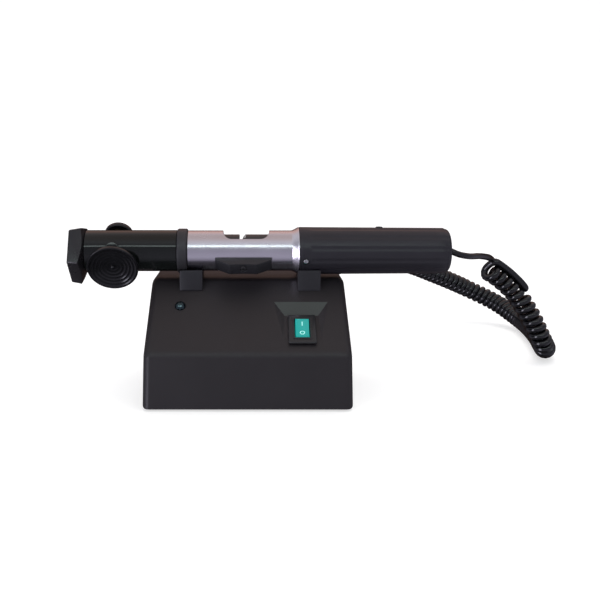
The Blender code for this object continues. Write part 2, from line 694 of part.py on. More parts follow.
def make_handle():
    fillet = 0.0030
    arc = [(HANDLE_END_RADIUS - fillet + fillet * math.cos(a), HANDLE_END - fillet + fillet * math.sin(a))
           for a in (math.radians(22.5 * k) for k in range(5))]
    profile = [(0.0116, HANDLE_START), (HANDLE_RADIUS - 0.0002, HANDLE_START),
               (HANDLE_RADIUS, HANDLE_START + 0.0002)]
    profile += arc + [(0.0032, HANDLE_END), (0.0032, HANDLE_END - 0.004), (0.0108, HANDLE_END - 0.004),
                      (0.0108, 0.0620), (0.0116, 0.0600)]
    handle = along_axis(smooth(turned("handle_shell", profile, HANDLE_BLACK, LARGE)))
    for side, angle in (("front", HANDLE_SCREW_ANGLE), ("rear", HANDLE_SCREW_ANGLE + 180)):
        cut(handle, aim(rod(f"handle_hole_{side}", 0.0018, 0.0115, 0.0160), HANDLE_SCREW_X, angle))
        screw = turned(f"handle_screw_{side}", [(0, 0.0136), (0.0010, 0.0136), (0.0014, 0.0132),
                                                (0.0014, 0.0122), (0.0009, 0.0122), (0.0009, 0.0103),
                                                (0, 0.0103)], STEEL, SMALL)
        aim(smooth(screw), HANDLE_SCREW_X, angle)
    cut(handle, aim(rod("lamp_screw_hole", 0.0023, 0.0100, 0.0160), LAMP_SCREW_X, 90))
    head = handle_radius(LAMP_SCREW_X)
    screw = turned("lamp_screw", [(0, head + 0.0005), (0.0012, head + 0.0004), (0.0020, head - 0.0002),
                                  (0.0020, head - 0.0012), (0.0011, head - 0.0012), (0.0011, 0.0088),
                                  (0, 0.0088)], HANDLE_BLACK, SMALL)
    aim(smooth(screw), LAMP_SCREW_X, 90)
    holder = turned("lamp_holder", [(0.0105, 0.0640), (0.0105, 0.0960), (0, 0.0960), (0, 0.0880),
                                    (0.0048, 0.0880), (0.0048, 0.0740), (0.0080, 0.0640)],
                    BLACK_PLASTIC, MEDIUM)
    along_axis(smooth(holder))
    cut(holder, aim(rod("lamp_holder_hole", 0.0014, 0.0040, 0.0140), LAMP_SCREW_X, 90))
    bulb = turned("lamp_bulb", [(0, 0.0600), (0.0026, 0.0608), (0.0042, 0.0634), (0.0045, 0.0660),
                                (0.0040, 0.0700), (0.0044, 0.0740), (0.0044, 0.0876), (0, 0.0876)],
                  GLASS, MEDIUM)
    along_axis(smooth(bulb))
    cell = turned("collimator_cell", [(SPIGOT_RADIUS, 0.0440), (SPIGOT_RADIUS, 0.0517),
                                      (0.0086, 0.0517), (0.0086, 0.0440)], ALUMINIUM, MEDIUM)
    along_axis(smooth(cell))
    lens("collimator_lens", 0.0478, 0.0083, 0.0012, 0.0010)
    lens("target_disc", 0.0560, 0.0112, 0.0016, 0.0)
    grommet = turned("cord_grommet", [(0, HANDLE_END - 0.0003), (0.0029, HANDLE_END - 0.0003),
                                      (0.0029, HANDLE_END - 0.0043), (0.0042, HANDLE_END - 0.0043),
                                      (0.0042, HANDLE_END - 0.0060), (0, HANDLE_END - 0.0060)],
                     RUBBER, SMALL)
    along_axis(smooth(grommet))


def make_eyepiece():
    """Five-sided eyecup, with the eyepiece barrel that it turns."""
    widest = EYE_END + 0.0069
    cup = turned("eyecup", [(0, EYE_END), (EYECUP_RADIUS - 0.0013, EYE_END), (EYECUP_RADIUS, widest),
                            (0.0145, TUBE_START - GAP), (0, TUBE_START - GAP)], BLACK_GLOSS, 5)
    cup.data.transform(Matrix.Rotation(math.radians(EYECUP_TURN), 4, "Z"))
    bevel = cup.modifiers.new("rounded edges", "BEVEL")
    bevel.width = 0.0008
    bevel.segments = 2
    bevel.limit_method = "ANGLE"
    bevel.angle_limit = math.radians(25)
    recess = turned("eye_recess", [(0, EYE_END - 0.001), (0.0112, EYE_END - 0.001), (0.0108, EYE_END),
                                   (0.0085, EYE_END + 0.0042), (0, EYE_END + 0.0042)], sides=LARGE)
    bore = rod("barrel_bore", 0.0102, EYE_END + 0.0052, EYE_END + 0.02, sides=LARGE)
    aperture = rod("eye_aperture", 0.0062, EYE_END + 0.002, EYE_END + 0.008, sides=MEDIUM)
    along_axis(cup)
    cup.location.z -= EYECUP_DROP
    cut(cup, along_axis(recess), along_axis(bore), along_axis(aperture))
    barrel_start = EYE_END + 0.0055
    barrel = turned("eyepiece_barrel", [(0.0099, barrel_start), (0.0099, BARREL_END),
                                        (0.0084, BARREL_END), (0.0084, barrel_start)], RING_BLACK, MEDIUM)
    along_axis(smooth(barrel))
    lens("eye_lens", barrel_start + 0.0020, 0.0081, 0.0010, 0.0008)
    ring = turned("eye_lens_ring", [(0.0081, barrel_start + 0.0031), (0.0081, barrel_start + 0.0042),
                                    (0.0066, barrel_start + 0.0042), (0.0066, barrel_start + 0.0031)],
                  BRASS, MEDIUM)
    along_axis(smooth(ring))
    lens("reticle", BARREL_END - 0.0008, 0.0081, 0.0008, 0.0)


# ---- focusing ----
def tooth(name, base, tip, half_base, half_tip, low, high):
    """One straight-sided tooth that points along local +Y, between two heights."""
    outline = [(-half_base, base), (half_base, base), (half_tip, tip), (-half_tip, tip)]
    cutter = sheet_solid(name, outline, (high - low) / 2)
    cutter.data.transform(Matrix.Translation((0, 0, (low + high) / 2)))
    return cutter


def make_knobs():
    low = 0.0074
    high = 0.0092
    for side, angle in (("front", KNOB_ANGLE), ("rear", KNOB_ANGLE + 180)):
        pinion = turned(f"{side}_pinion", [(0, low), (0.0019, low), (0.0019, high), (0.00125, high),
                                           (0.00125, 0.0147), (0, 0.0147)], BRASS, SMALL)
        aim(smooth(pinion), KNOB_X, angle)
        for k in range(PINION_TEETH):
            piece = tooth(f"{side}_pinion_tooth_{k}", 0.0016, 0.0029, 0.00048, 0.00014, low, high)
            piece.data.transform(Matrix.Rotation(2 * math.pi * k / PINION_TEETH, 4, "Z"))
            join(pinion, aim(piece, KNOB_X, angle))
    knob = turned("front_knob", [(0, 0.0164), (0.0007, 0.0163), (0.0011, 0.0158), (0.0011, 0.0154),
                                 (0.0055, 0.0155), (0.0095, 0.0160), (0.0138, 0.0168),
                                 (FRONT_KNOB_RADIUS, 0.0166), (FRONT_KNOB_RADIUS, 0.0150),
                                 (0.0132, 0.0144), (0.0060, 0.0140), (0.0045, 0.0134), (0.0015, 0.0134),
                                 (0.0015, 0.0149), (0, 0.0149)], BLACK_GLOSS, LARGE)
    aim(smooth(knob), KNOB_X, KNOB_ANGLE)
    knob = turned("rear_knob", [(0, 0.0160), (0.0050, 0.0158), (0.0083, 0.0164),
                                (REAR_KNOB_RADIUS, 0.0161), (REAR_KNOB_RADIUS, 0.0140),
                                (0.0083, 0.0135), (0.0015, 0.0134), (0.0015, 0.0149), (0, 0.0149)],
                  BLACK_GLOSS, MEDIUM)
    aim(smooth(knob), KNOB_X, KNOB_ANGLE + 180)


def make_carriage():
    """The sliding cell that the two pinions drive by a rack on each side."""
    start = KNOB_X - 0.0090
    middle = KNOB_X + 0.0078
    end = -0.0622
    outer = 0.0070
    bore = 0.0060
    flange = 0.0099
    thick = 0.0012
    carriage = turned("focus_carriage", [(flange, start), (flange, start + thick), (outer, start + thick),
                                         (outer, middle), (flange, middle), (flange, middle + thick),
                                         (outer, middle + thick), (outer, end - thick),
                                         (flange, end - thick), (flange, end), (bore, end),
                                         (bore, start)], ALUMINIUM, MEDIUM)
    along_axis(smooth(carriage))
    root = -PITCH_RADIUS - 0.00055
    for side, angle in (("front", KNOB_ANGLE), ("rear", KNOB_ANGLE + 180)):
        down = 1 if side == "front" else -1
        edges = sorted((down * root, down * -0.00425))
        bar = block(f"{side}_rack_bar", (start + 0.0006 - KNOB_X, edges[0], 0.0056),
                    (middle + 0.0006 - KNOB_X, edges[1], 0.0088))
        join(carriage, aim(bar, KNOB_X, angle))
        for k in range(8):
            piece = tooth(f"{side}_rack_tooth_{k}", root - 0.0004, -0.0021, 0.00052, 0.00014,
                          0.0074, 0.0087)
            if side == "rear":
                piece.data.transform(Matrix.Rotation(math.radians(180), 4, "Z"))
            piece.data.transform(Matrix.Translation(((k - 3.5) * TOOTH_PITCH, 0, 0)))
            join(carriage, aim(piece, KNOB_X, angle))
    lens("focus_lens", end - 0.0022, 0.0057, 0.0012, 0.0007)


# ---- lens clamp ----
def make_clamp():
    middle = (SLIDE_START + SLIDE_END) / 2
    flat = 0.0075
    high = 0.0174
    dish = [(middle + flat * (1 - k / 4), high - 0.0004 * (1 - (1 - k / 4) ** 2)) for k in range(9)]
    outline = [(SLIDE_START, 0.0100), (SLIDE_END, 0.0100), (SLIDE_END, 0.0128)] + dish
    outline += [(SLIDE_START, 0.0128)]
    slide = sheet_solid("thumb_slide", outline, SLIDE_WIDTH / 2, BLACK_PLASTIC)
    slide.data.transform(Matrix.Rotation(math.radians(90), 4, "X"))
    aim(slide, 0, SLIDE_ANGLE)
    clearance = rod("slide_saddle", NECK_RADIUS + GAP, -0.04, 0.04, sides=LARGE)
    key_start = middle - 0.0021
    key_end = SLIDE_END - SLIDE_TRAVEL - 0.0006
    groove = block("slide_groove", (key_start - GAP, -0.0018, 0.0090), (key_end + GAP, 0.0018, 0.0130))
    counterbore = turned("slide_counterbore", [(0, 0.0200), (0.0019, 0.0200), (0.0019, 0.0156),
                                               (0.0012, 0.0156), (0.0012, 0.0090), (0, 0.0090)],
                         sides=SMALL)
    cut(slide, along_axis(clearance), aim(groove, 0, SLIDE_ANGLE), aim(counterbore, middle, SLIDE_ANGLE))
    key = block("clamp_key", (key_start, -0.0015, 0.0103), (key_end, 0.0015, 0.0127), STEEL)
    tang = block("key_tang", (key_end - 0.0049, -0.0013, 0.0081), (key_end - 0.0002, 0.0013, 0.0115))
    drilled = aim(rod("key_hole", 0.0012, 0.0112, 0.0140), middle, SLIDE_ANGLE)
    join(aim(key, 0, SLIDE_ANGLE), aim(tang, 0, SLIDE_ANGLE))
    cut(key, drilled)
    screw = turned("clamp_screw", [(0, 0.0170), (0.0010, 0.0170), (0.0016, 0.0167), (0.0016, 0.0159),
                                   (0.0009, 0.0159), (0.0009, 0.0115), (0, 0.0115)], RING_BLACK, SMALL)
    aim(smooth(screw), middle, SLIDE_ANGLE)
    sleeve = turned("clamp_sleeve", [(INNER_RADIUS, -0.00805), (INNER_RADIUS, 0.0220),
                                     (SPIGOT_RADIUS, 0.0220), (SPIGOT_RADIUS, 0.0260),
                                     (0.0075, 0.0260), (0.0075, -0.00805)], BLACK_GLOSS, LARGE)
    along_axis(smooth(sleeve))
    cut(sleeve, aim(block("sleeve_notch", (key_end - 0.0053, -0.0017, 0.0065),
                          (key_end + 0.0002, 0.0017, 0.0110)), 0, SLIDE_ANGLE))
    nose = turned("sleeve_nose", [(0.0050, -0.0101), (0.0056, -0.0101), (INNER_RADIUS, -0.00835),
                                  (0.0072, -0.00835), (0.0072, -0.0075), (0.0050, -0.0075)],
                  ALUMINIUM, LARGE)
    along_axis(smooth(nose))
    make_spring()


def make_spring():
    """Coil spring between the sleeve's collar and the collimator's cell."""
    start = 0.0260 + GAP + 0.0004
    end = 0.0440 - GAP - 0.0004
    turns = 5
    per_turn = 12
    points = []
    for step in range(turns * per_turn + 1):
        angle = 2 * math.pi * step / per_turn
        x = start + (end - start) * step / (turns * per_turn)
        points.append((x, AXIS_Y + 0.0088 * math.sin(angle), AXIS_Z + 0.0088 * math.cos(angle)))
    tube("clamp_spring", points, 0.0004, STEEL, 1)


# ---- cord ----
def make_cord():
    gland = turned("cord_gland", [(0, GLAND_LENGTH), (0.0024, GLAND_LENGTH), (0.0034, 0.0030),
                                  (0.0056, 0.0030), (0.0056, GAP), (0.0039, GAP),
                                  (0.0039, -SHELL_WALL - GAP), (0.0054, -SHELL_WALL - GAP),
                                  (0.0054, -0.0055), (0, -0.0055)], RUBBER, SMALL)
    on_back(smooth(gland), GLAND[0], GLAND[2])
    tube("cord_lead", smooth_route(LEAD_ROUTE, 0.0060), CORD_RADIUS, CORD_BLACK)
    tube("cord_coil", smooth_route(COIL_ROUTE, 0.0105), COIL_RADIUS, CORD_BLACK)
    tube("cord_tail", smooth_route(TAIL_ROUTE, 0.0060), CORD_RADIUS, CORD_BLACK)


make_base()
make_transformer()
make_switch()
make_pilot()
make_inlet()
make_telescope()
make_handle()
make_eyepiece()
make_knobs()
make_carriage()
make_clamp()
make_cord()
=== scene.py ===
"""Looks of the hand-held lensmeter on its power base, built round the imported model."""
import math

import bmesh
import bpy
from mathutils import Matrix, Vector


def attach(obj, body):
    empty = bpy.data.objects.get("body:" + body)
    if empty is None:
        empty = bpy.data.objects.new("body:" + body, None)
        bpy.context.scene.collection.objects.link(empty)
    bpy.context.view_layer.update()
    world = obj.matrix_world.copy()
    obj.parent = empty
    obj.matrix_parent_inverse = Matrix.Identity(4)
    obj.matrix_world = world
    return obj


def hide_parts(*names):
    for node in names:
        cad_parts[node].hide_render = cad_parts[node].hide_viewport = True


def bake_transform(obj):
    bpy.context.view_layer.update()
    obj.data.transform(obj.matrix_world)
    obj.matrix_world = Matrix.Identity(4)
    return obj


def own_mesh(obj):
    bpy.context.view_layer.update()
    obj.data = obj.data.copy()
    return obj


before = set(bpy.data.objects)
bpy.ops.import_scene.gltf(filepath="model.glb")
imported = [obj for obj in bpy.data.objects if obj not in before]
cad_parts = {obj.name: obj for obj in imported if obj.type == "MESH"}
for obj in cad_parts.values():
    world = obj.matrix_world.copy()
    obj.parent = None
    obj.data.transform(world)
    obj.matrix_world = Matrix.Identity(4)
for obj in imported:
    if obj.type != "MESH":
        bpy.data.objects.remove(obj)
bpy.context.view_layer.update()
MM = 0.001

# stations, as in the model: the telescope's axis and the pieces along it, in millimetres
AXIS_Y = -5.0
AXIS_Z = 80.4
EYE_END = -106.7
HANDLE_START = 22.5
HANDLE_END = 107.5
HANDLE_RADIUS = 13.45               # at its start; it narrows a little towards its end
HANDLE_END_RADIUS = 12.9
TUBE_START = EYE_END + 8.8
KNOB_X = -81.5
KNOB_ANGLE = -30.0
SLIDE_ANGLE = -30.0
SLIDE_START, SLIDE_END = -24.7, 6.8
CLAMP_TRAVEL = 8.0
BASE_X = -6.4
BASE_WIDTH = 112.4
HALF_DEPTH = 50.0                   # from the middle of the base to its front and its back
SLOPE_ANGLE = 39.0
SLOPE = math.tan(math.radians(SLOPE_ANGLE))
BASE_FRONT_TOP = 30.2
BASE_TOP = 65.3
BASE_BOTTOM = 1.0
SIDE_DRAFT = 0.0255
FRONT_DRAFT = 1.5
SHELL_WALL = 2.8
SIDE_RADIUS = 4.0
TOP_RADIUS = 10.0
SWITCH_X = 22.9
RECESS_Y = -40.7                    # the lower edge of the switch's recess
RECESS_ANGLE = 33.5
SWITCH_RISE = 5.5                   # from that edge up to the middle of the switch
PILOT = (-43.8, -23.3)
INLET = (-30.0, 30.0)
GLAND = (31.9, 51.0)
LAMP_SCREW_X = 67.8
HANDLE_SCREW = (25.9, -21.0)

# cord
WIRE_RADIUS = 1.75                  # of the lead; the coiled part is a little thicker
COIL_WIRE_RADIUS = 2.2
LOOP_RADIUS = 4.75
STRAND_HEIGHT = 6.7                 # of the two strands laid back along the coil's first turns
STRAND_REACH = 27.5
LEAD = [(107.55, -5, 80.4), (109.2, -5, 80.0), (114.0, -3.8, 78.0), (121.0, 0.5, 76.4), (129.0, 9.5, 75.4),
        (137.0, 21, 73.2), (142.0, 33, 70.6)]
COIL = [(142.3, 42.5, 63.0), (149.4, 45.5, 58.4), (156.8, 48, 52.5), (163.6, 49.5, 45.3), (173.4, 51, 30.4),
        (180.9, 53, 16.0), (186.2, 61, 8.7), (190.2, 79, 7.4), (194.2, 102, 7.4), (197.6, 130, 7.4),
        (197.9, 156, 8.4), (185.7, 178, 17.0), (166.8, 185, 26.1), (152.6, 180, 32.9), (133.5, 170, 41.5),
        (115.1, 155, 49.8), (91.8, 135, 57.5), (70.7, 112, 61.0), (55.8, 94, 60.1)]
TAIL = [(46.0, 83.0, 53.6), (39.6, 77.2, 52.1), (34.0, 73.2, 51.2), (31.9, 69.3, 51.0), (31.9, 65.0, 51.0)]


# ---- camera, stage and light ----
def add_object(name, data):
    obj = bpy.data.objects.new(name, data)
    bpy.context.scene.collection.objects.link(obj)
    return obj


def make_camera():
    lens = bpy.data.cameras.new("camera")
    lens.sensor_width = 36
    lens.lens = 54.41
    lens.shift_x = 0.0794
    lens.shift_y = -0.08
    lens.clip_start = 0.01
    lens.clip_end = 20
    camera = add_object("camera", lens)
    camera.location = (-0.00397, -0.5168, 0.1429)
    camera.rotation_euler = (math.radians(90 - 7.05), 0, 0)
    bpy.context.scene.camera = camera
    bpy.context.scene.view_settings.view_transform = "Standard"


def area_light(name, place, target, size, power, colour):
    light = bpy.data.lights.new(name, "AREA")
    light.shape = "RECTANGLE"
    light.size, light.size_y = size
    light.energy = power
    light.color = colour
    obj = add_object(name, light)
    obj.location = place
    obj.rotation_euler = (Vector(place) - Vector(target)).to_track_quat("Z", "Y").to_euler()
    obj.visible_camera = False
    return obj


def make_stage():
    """A white sweep: a floor that curves up behind the object."""
    shape = bmesh.new()
    bend_start, bend_radius, half_width, below = 1.2, 0.8, 5, 0.0002
    outline = [(-3.0, 0.0), (bend_start, 0.0)]
    outline += [(bend_start + bend_radius * math.sin(math.radians(10 * k)),
                 bend_radius - bend_radius * math.cos(math.radians(10 * k))) for k in range(1, 10)]
    outline += [(2.0, 4.0)]
    rows = [[shape.verts.new((side, y, z - below)) for y, z in outline] for side in (-half_width, half_width)]
    for k in range(len(outline) - 1):
        shape.faces.new((rows[0][k], rows[0][k + 1], rows[1][k + 1], rows[1][k]))
    mesh = bpy.data.meshes.new("sweep")
    shape.to_mesh(mesh)
    shape.free()
    mesh.shade_smooth()
    sweep = add_object("sweep", mesh)
    material = bpy.data.materials.new("white_sweep")
    material.use_nodes = True
    shader = material.node_tree.nodes["Principled BSDF"]
    shader.inputs["Base Color"].default_value = (0.55, 0.55, 0.55, 1)
    shader.inputs["Roughness"].default_value = 0.9
    shader.inputs["Specular IOR Level"].default_value = 0.0
    shader.inputs["Emission Color"].default_value = (1.0, 0.995, 0.99, 1)
    shader.inputs["Emission Strength"].default_value = 0.62
    mesh.materials.append(material)
    sweep.visible_glossy = False


def colour_ramp(nodes, steps):
    """A ramp through (position, colour) steps."""
    ramp = nodes.new("ShaderNodeValToRGB")
    for at, _ in steps[1:-1]:
        ramp.color_ramp.elements.new(at)
    for element, (at, colour) in zip(ramp.color_ramp.elements, steps):
        element.position = at
        element.color = (*colour, 1)
    return ramp


def smooth_range(nodes, low, high, top=1.0):
    """0 up to low, then smoothly to top at high."""
    node = nodes.new("ShaderNodeMapRange")
    node.interpolation_type = "SMOOTHSTEP"
    node.inputs["From Min"].default_value = low
    node.inputs["From Max"].default_value = high
    node.inputs["To Max"].default_value = top
    return node


def make_world():
    """A soft studio: lilac in front, warm behind, dark below, with a bright patch left of the front."""
    front_sky = [(0.05, (0.03, 0.03, 0.035)), (0.12, (0.22, 0.21, 0.26)), (0.24, (0.38, 0.37, 0.45)),
                 (0.50, (0.31, 0.30, 0.37)), (0.72, (0.26, 0.26, 0.30)), (0.90, (0.60, 0.60, 0.64)),
                 (1.00, (0.50, 0.42, 0.40))]
    back_sky = [(0.64, (0.05, 0.033, 0.029)), (0.80, (0.72, 0.46, 0.39))]
    patch_way = Vector((-0.66, -0.64, -0.05)).normalized()
    patch_colour = (0.86, 0.84, 1.0)
    patch_strength = 5.5
    patch_flattening = (1.0, 1.0, 0.4)
    world = bpy.data.worlds.new("studio")
    bpy.context.scene.world = world
    world.use_nodes = True
    nodes, links = world.node_tree.nodes, world.node_tree.links
    background = nodes["Background"]
    place = nodes.new("ShaderNodeTexCoord")
    split = nodes.new("ShaderNodeSeparateXYZ")
    links.new(place.outputs["Generated"], split.inputs[0])
    height = nodes.new("ShaderNodeMapRange")
    height.inputs["From Min"].default_value = -1
    height.inputs["From Max"].default_value = 1
    links.new(split.outputs["Z"], height.inputs["Value"])
    front = colour_ramp(nodes, front_sky)
    links.new(height.outputs[0], front.inputs[0])
    depth = smooth_range(nodes, 0.25, 0.80)
    links.new(split.outputs["Y"], depth.inputs["Value"])
    mix = nodes.new("ShaderNodeMix")
    mix.data_type = "RGBA"
    links.new(depth.outputs[0], mix.inputs[0])
    links.new(front.outputs[0], mix.inputs[6])
    behind = colour_ramp(nodes, back_sky)
    links.new(height.outputs[0], behind.inputs[0])
    links.new(behind.outputs[0], mix.inputs[7])
    flat = nodes.new("ShaderNodeVectorMath")
    flat.operation = "MULTIPLY"
    flat.inputs[1].default_value = patch_flattening
    links.new(place.outputs["Generated"], flat.inputs[0])
    even = nodes.new("ShaderNodeVectorMath")
    even.operation = "NORMALIZE"
    links.new(flat.outputs[0], even.inputs[0])
    facing = nodes.new("ShaderNodeVectorMath")
    facing.operation = "DOT_PRODUCT"
    facing.inputs[1].default_value = patch_way
    links.new(even.outputs[0], facing.inputs[0])
    patch = smooth_range(nodes, 0.972, 0.997, patch_strength)
    links.new(facing.outputs["Value"], patch.inputs["Value"])
    glow = nodes.new("ShaderNodeMix")
    glow.data_type = "RGBA"
    glow.blend_type = "ADD"
    glow.inputs[0].default_value = 1.0
    scale = nodes.new("ShaderNodeVectorMath")
    scale.operation = "SCALE"
    scale.inputs[0].default_value = patch_colour
    links.new(patch.outputs[0], scale.inputs["Scale"])
    links.new(mix.outputs[2], glow.inputs[6])
    links.new(scale.outputs[0], glow.inputs[7])
    links.new(glow.outputs[2], background.inputs["Color"])
    background.inputs["Strength"].default_value = 1.0


def make_lights():
    area_light("strip", (0.0, -1.02, 0.72), (0, 0, 0.08), (2.6, 0.12), 3.0, (0.84, 1.0, 0.97))
    high_front = area_light("high_front", (0.1, -0.55, 1.35), (0, 0, 0.05), (1.6, 0.5), 2.4,
                            (0.92, 1.0, 0.99))
    high_front.visible_glossy = False
    overhead = area_light("overhead", (0.2, 0.1, 1.6), (0, 0, 0.05), (1.4, 0.8), 9, (1.0, 0.98, 0.96))
    overhead.visible_glossy = False


# ---- materials ----
def surface(name, colour, roughness, metallic=0.0, grain=None, vary=0.0, coat=0.0, brushed=None,
            transmission=0.0, ior=1.5, specular=0.5, glow=None, smudge=0.0):
    """A Principled material. grain is (size in mm, bump strength), vary is how much the colour drifts
    over the surface, smudge how much the roughness does. brushed stretches the grain into lines,
    and glow is (colour, strength)."""
    material = bpy.data.materials.new(name)
    material.use_nodes = True
    nodes, links = material.node_tree.nodes, material.node_tree.links
    shader = nodes["Principled BSDF"]
    shader.inputs["Base Color"].default_value = (*colour, 1)
    shader.inputs["Roughness"].default_value = roughness
    shader.inputs["Metallic"].default_value = metallic
    shader.inputs["Coat Weight"].default_value = coat
    shader.inputs["Coat Roughness"].default_value = 0.08
    shader.inputs["IOR"].default_value = ior
    shader.inputs["Specular IOR Level"].default_value = specular
    shader.inputs["Transmission Weight"].default_value = transmission
    if glow:
        shader.inputs["Emission Color"].default_value = (*glow[0], 1)
        shader.inputs["Emission Strength"].default_value = glow[1]
    place = nodes.new("ShaderNodeTexCoord")
    mapping = nodes.new("ShaderNodeMapping")
    links.new(place.outputs["Object"], mapping.inputs[0])
    if brushed:
        mapping.inputs["Scale"].default_value = brushed
    if vary or smudge:
        cloud = nodes.new("ShaderNodeTexNoise")
        cloud.inputs["Scale"].default_value = 60
        cloud.inputs["Detail"].default_value = 4
        links.new(place.outputs["Object"], cloud.inputs["Vector"])
    if vary:
        tint = nodes.new("ShaderNodeMix")
        tint.data_type = "RGBA"
        tint.inputs[6].default_value = (*[c * (1 - vary) for c in colour], 1)
        tint.inputs[7].default_value = (*[min(1, c * (1 + vary)) for c in colour], 1)
        links.new(cloud.outputs["Fac"], tint.inputs[0])
        links.new(tint.outputs[2], shader.inputs["Base Color"])
    if grain or smudge:
        fine = nodes.new("ShaderNodeTexNoise")
        fine.inputs["Scale"].default_value = 1000 / (grain[0] if grain else 0.5)
        fine.inputs["Detail"].default_value = 3
        links.new(mapping.outputs[0], fine.inputs["Vector"])
    if grain:
        bump = nodes.new("ShaderNodeBump")
        bump.inputs["Strength"].default_value = grain[1]
        bump.inputs["Distance"].default_value = grain[0] * MM * 0.3
        links.new(fine.outputs["Fac"], bump.inputs["Height"])
        links.new(bump.outputs[0], shader.inputs["Normal"])
    if smudge:
        wipe = nodes.new("ShaderNodeMapRange")
        wipe.inputs["From Min"].default_value = 0.3
        wipe.inputs["From Max"].default_value = 0.7
        wipe.inputs["To Min"].default_value = max(0.02, roughness - smudge)
        wipe.inputs["To Max"].default_value = min(1.0, roughness + smudge)
        links.new(cloud.outputs["Fac"], wipe.inputs["Value"])
        links.new(wipe.outputs[0], shader.inputs["Roughness"])
    return material


BASE_PLASTIC = surface("base_plastic", (0.0150, 0.0125, 0.0145), 0.46, grain=(0.35, 0.35), vary=0.10,
                       smudge=0.05, specular=0.45)
# painted highlight: the recess's upper ramp is the base's own plastic, given a lighter colour here to stand
# in for the light that it catches
RAMP_PAINTED_LIGHT = surface("ramp_painted_light", (0.036, 0.043, 0.041), 0.36, vary=0.15, smudge=0.06)
CRADLE_PLASTIC = surface("cradle_plastic", (0.013, 0.0125, 0.016), 0.40, grain=(0.30, 0.25), vary=0.08,
                         smudge=0.05)
TUBE_GLOSS = surface("tube_gloss", (0.005, 0.006, 0.006), 0.10, vary=0.2, smudge=0.04, coat=0.1,
                     specular=0.4)
EYECUP_BLACK = surface("eyecup_black", (0.010, 0.009, 0.011), 0.30, grain=(0.25, 0.12), vary=0.15,
                       smudge=0.06)
HANDLE_SATIN = surface("handle_satin", (0.012, 0.011, 0.016), 0.38, grain=(0.22, 0.20), vary=0.12,
                       smudge=0.06)
RING_KNURL = surface("ring_knurl", (0.022, 0.021, 0.025), 0.42, grain=(0.20, 0.5), vary=0.25)
KNOB_GLOSS = surface("knob_gloss", (0.004, 0.004, 0.005), 0.20, vary=0.15, smudge=0.04)
INNER_BLACK = surface("inner_black", (0.014, 0.014, 0.016), 0.30, vary=0.15, smudge=0.06)
ALUMINIUM = surface("turned_aluminium", (0.76, 0.73, 0.79), 0.24, 1.0, grain=(0.35, 0.10), vary=0.04,
                    brushed=(3.0, 0.12, 0.12), smudge=0.04)
STEEL = surface("screw_steel", (0.58, 0.58, 0.60), 0.22, 1.0, grain=(0.2, 0.1), vary=0.08)
SPRING = surface("spring_steel", (0.50, 0.50, 0.52), 0.28, 1.0, vary=0.1)
BRASS = surface("turned_brass", (0.70, 0.50, 0.22), 0.26, 1.0, grain=(0.3, 0.08), vary=0.08)
GLASS = surface("lens_glass", (0.97, 0.99, 1.0), 0.02, transmission=1.0, ior=1.52, vary=0.01)
JEWEL = surface("jewel", (0.05, 0.075, 0.085), 0.05, 0.9, transmission=0.3, ior=1.6, vary=0.05)
RUBBER = surface("rubber", (0.018, 0.018, 0.018), 0.75, grain=(0.4, 0.3), vary=0.15)
CORD_BLACK = surface("cord_black", (0.003, 0.003, 0.004), 0.16, vary=0.2, smudge=0.05, coat=0.3)
SWITCH_BLACK = surface("switch_black", (0.016, 0.016, 0.018), 0.34, grain=(0.2, 0.15), vary=0.1, smudge=0.05)
# the emission paints light onto the rocker, which holds no lamp: a painted glow
ROCKER_GREEN = surface("rocker_green", (0.0, 0.33, 0.30), 0.30, vary=0.12, transmission=0.15,
                       glow=((0.0, 0.50, 0.43), 0.18))
# the marks' colour is their own print, and the emission paints light onto them, though they hold no lamp: a
# painted glow
MARK = surface("mark_paint", (0.45, 0.92, 0.86), 0.4, vary=0.03, glow=((0.35, 0.9, 0.8), 0.25))
LAMINATION = surface("lamination", (0.22, 0.22, 0.24), 0.45, 0.9, grain=(0.5, 0.5), vary=0.15,
                     brushed=(0.05, 3.0, 0.05))
TAPE = surface("winding_tape", (0.60, 0.38, 0.06), 0.42, grain=(0.6, 0.3), vary=0.2)
LAMP_GLASS = surface("lamp_glass", (1.0, 0.98, 0.94), 0.03, transmission=1.0, ior=1.45, vary=0.01)


# ---- mesh helpers ----
def mesh_object(name, shape, place=None, sharp=30):
    bmesh.ops.recalc_face_normals(shape, faces=shape.faces)
    mesh = bpy.data.meshes.new(name)
    shape.to_mesh(mesh)
    shape.free()
    if place is not None:
        mesh.transform(place)
    mesh.shade_smooth()
    mesh.set_sharp_from_angle(angle=math.radians(sharp))
    return add_object(name, mesh)


def along():
    """Local Z runs along the telescope, from the middle of its length."""
    return Matrix.Translation((0, AXIS_Y * MM, AXIS_Z * MM)) @ Matrix.Rotation(math.radians(90), 4, "Y")


def across(x, angle):
    """Local Z points out across the telescope at an angle: 0 to the front, 90 up."""
    return (Matrix.Translation((x * MM, AXIS_Y * MM, AXIS_Z * MM))
            @ Matrix.Rotation(math.radians(90 - angle), 4, "X"))


def slope_z(y):
    return min(BASE_TOP, BASE_FRONT_TOP + (y + HALF_DEPTH) * SLOPE)


def on_slope(x, y):
    return (Matrix.Translation((x * MM, y * MM, slope_z(y) * MM))
            @ Matrix.Rotation(math.radians(SLOPE_ANGLE), 4, "X"))


def on_back(x, z):
    return Matrix.Translation((x * MM, HALF_DEPTH * MM, z * MM)) @ Matrix.Rotation(math.radians(-90), 4, "X")


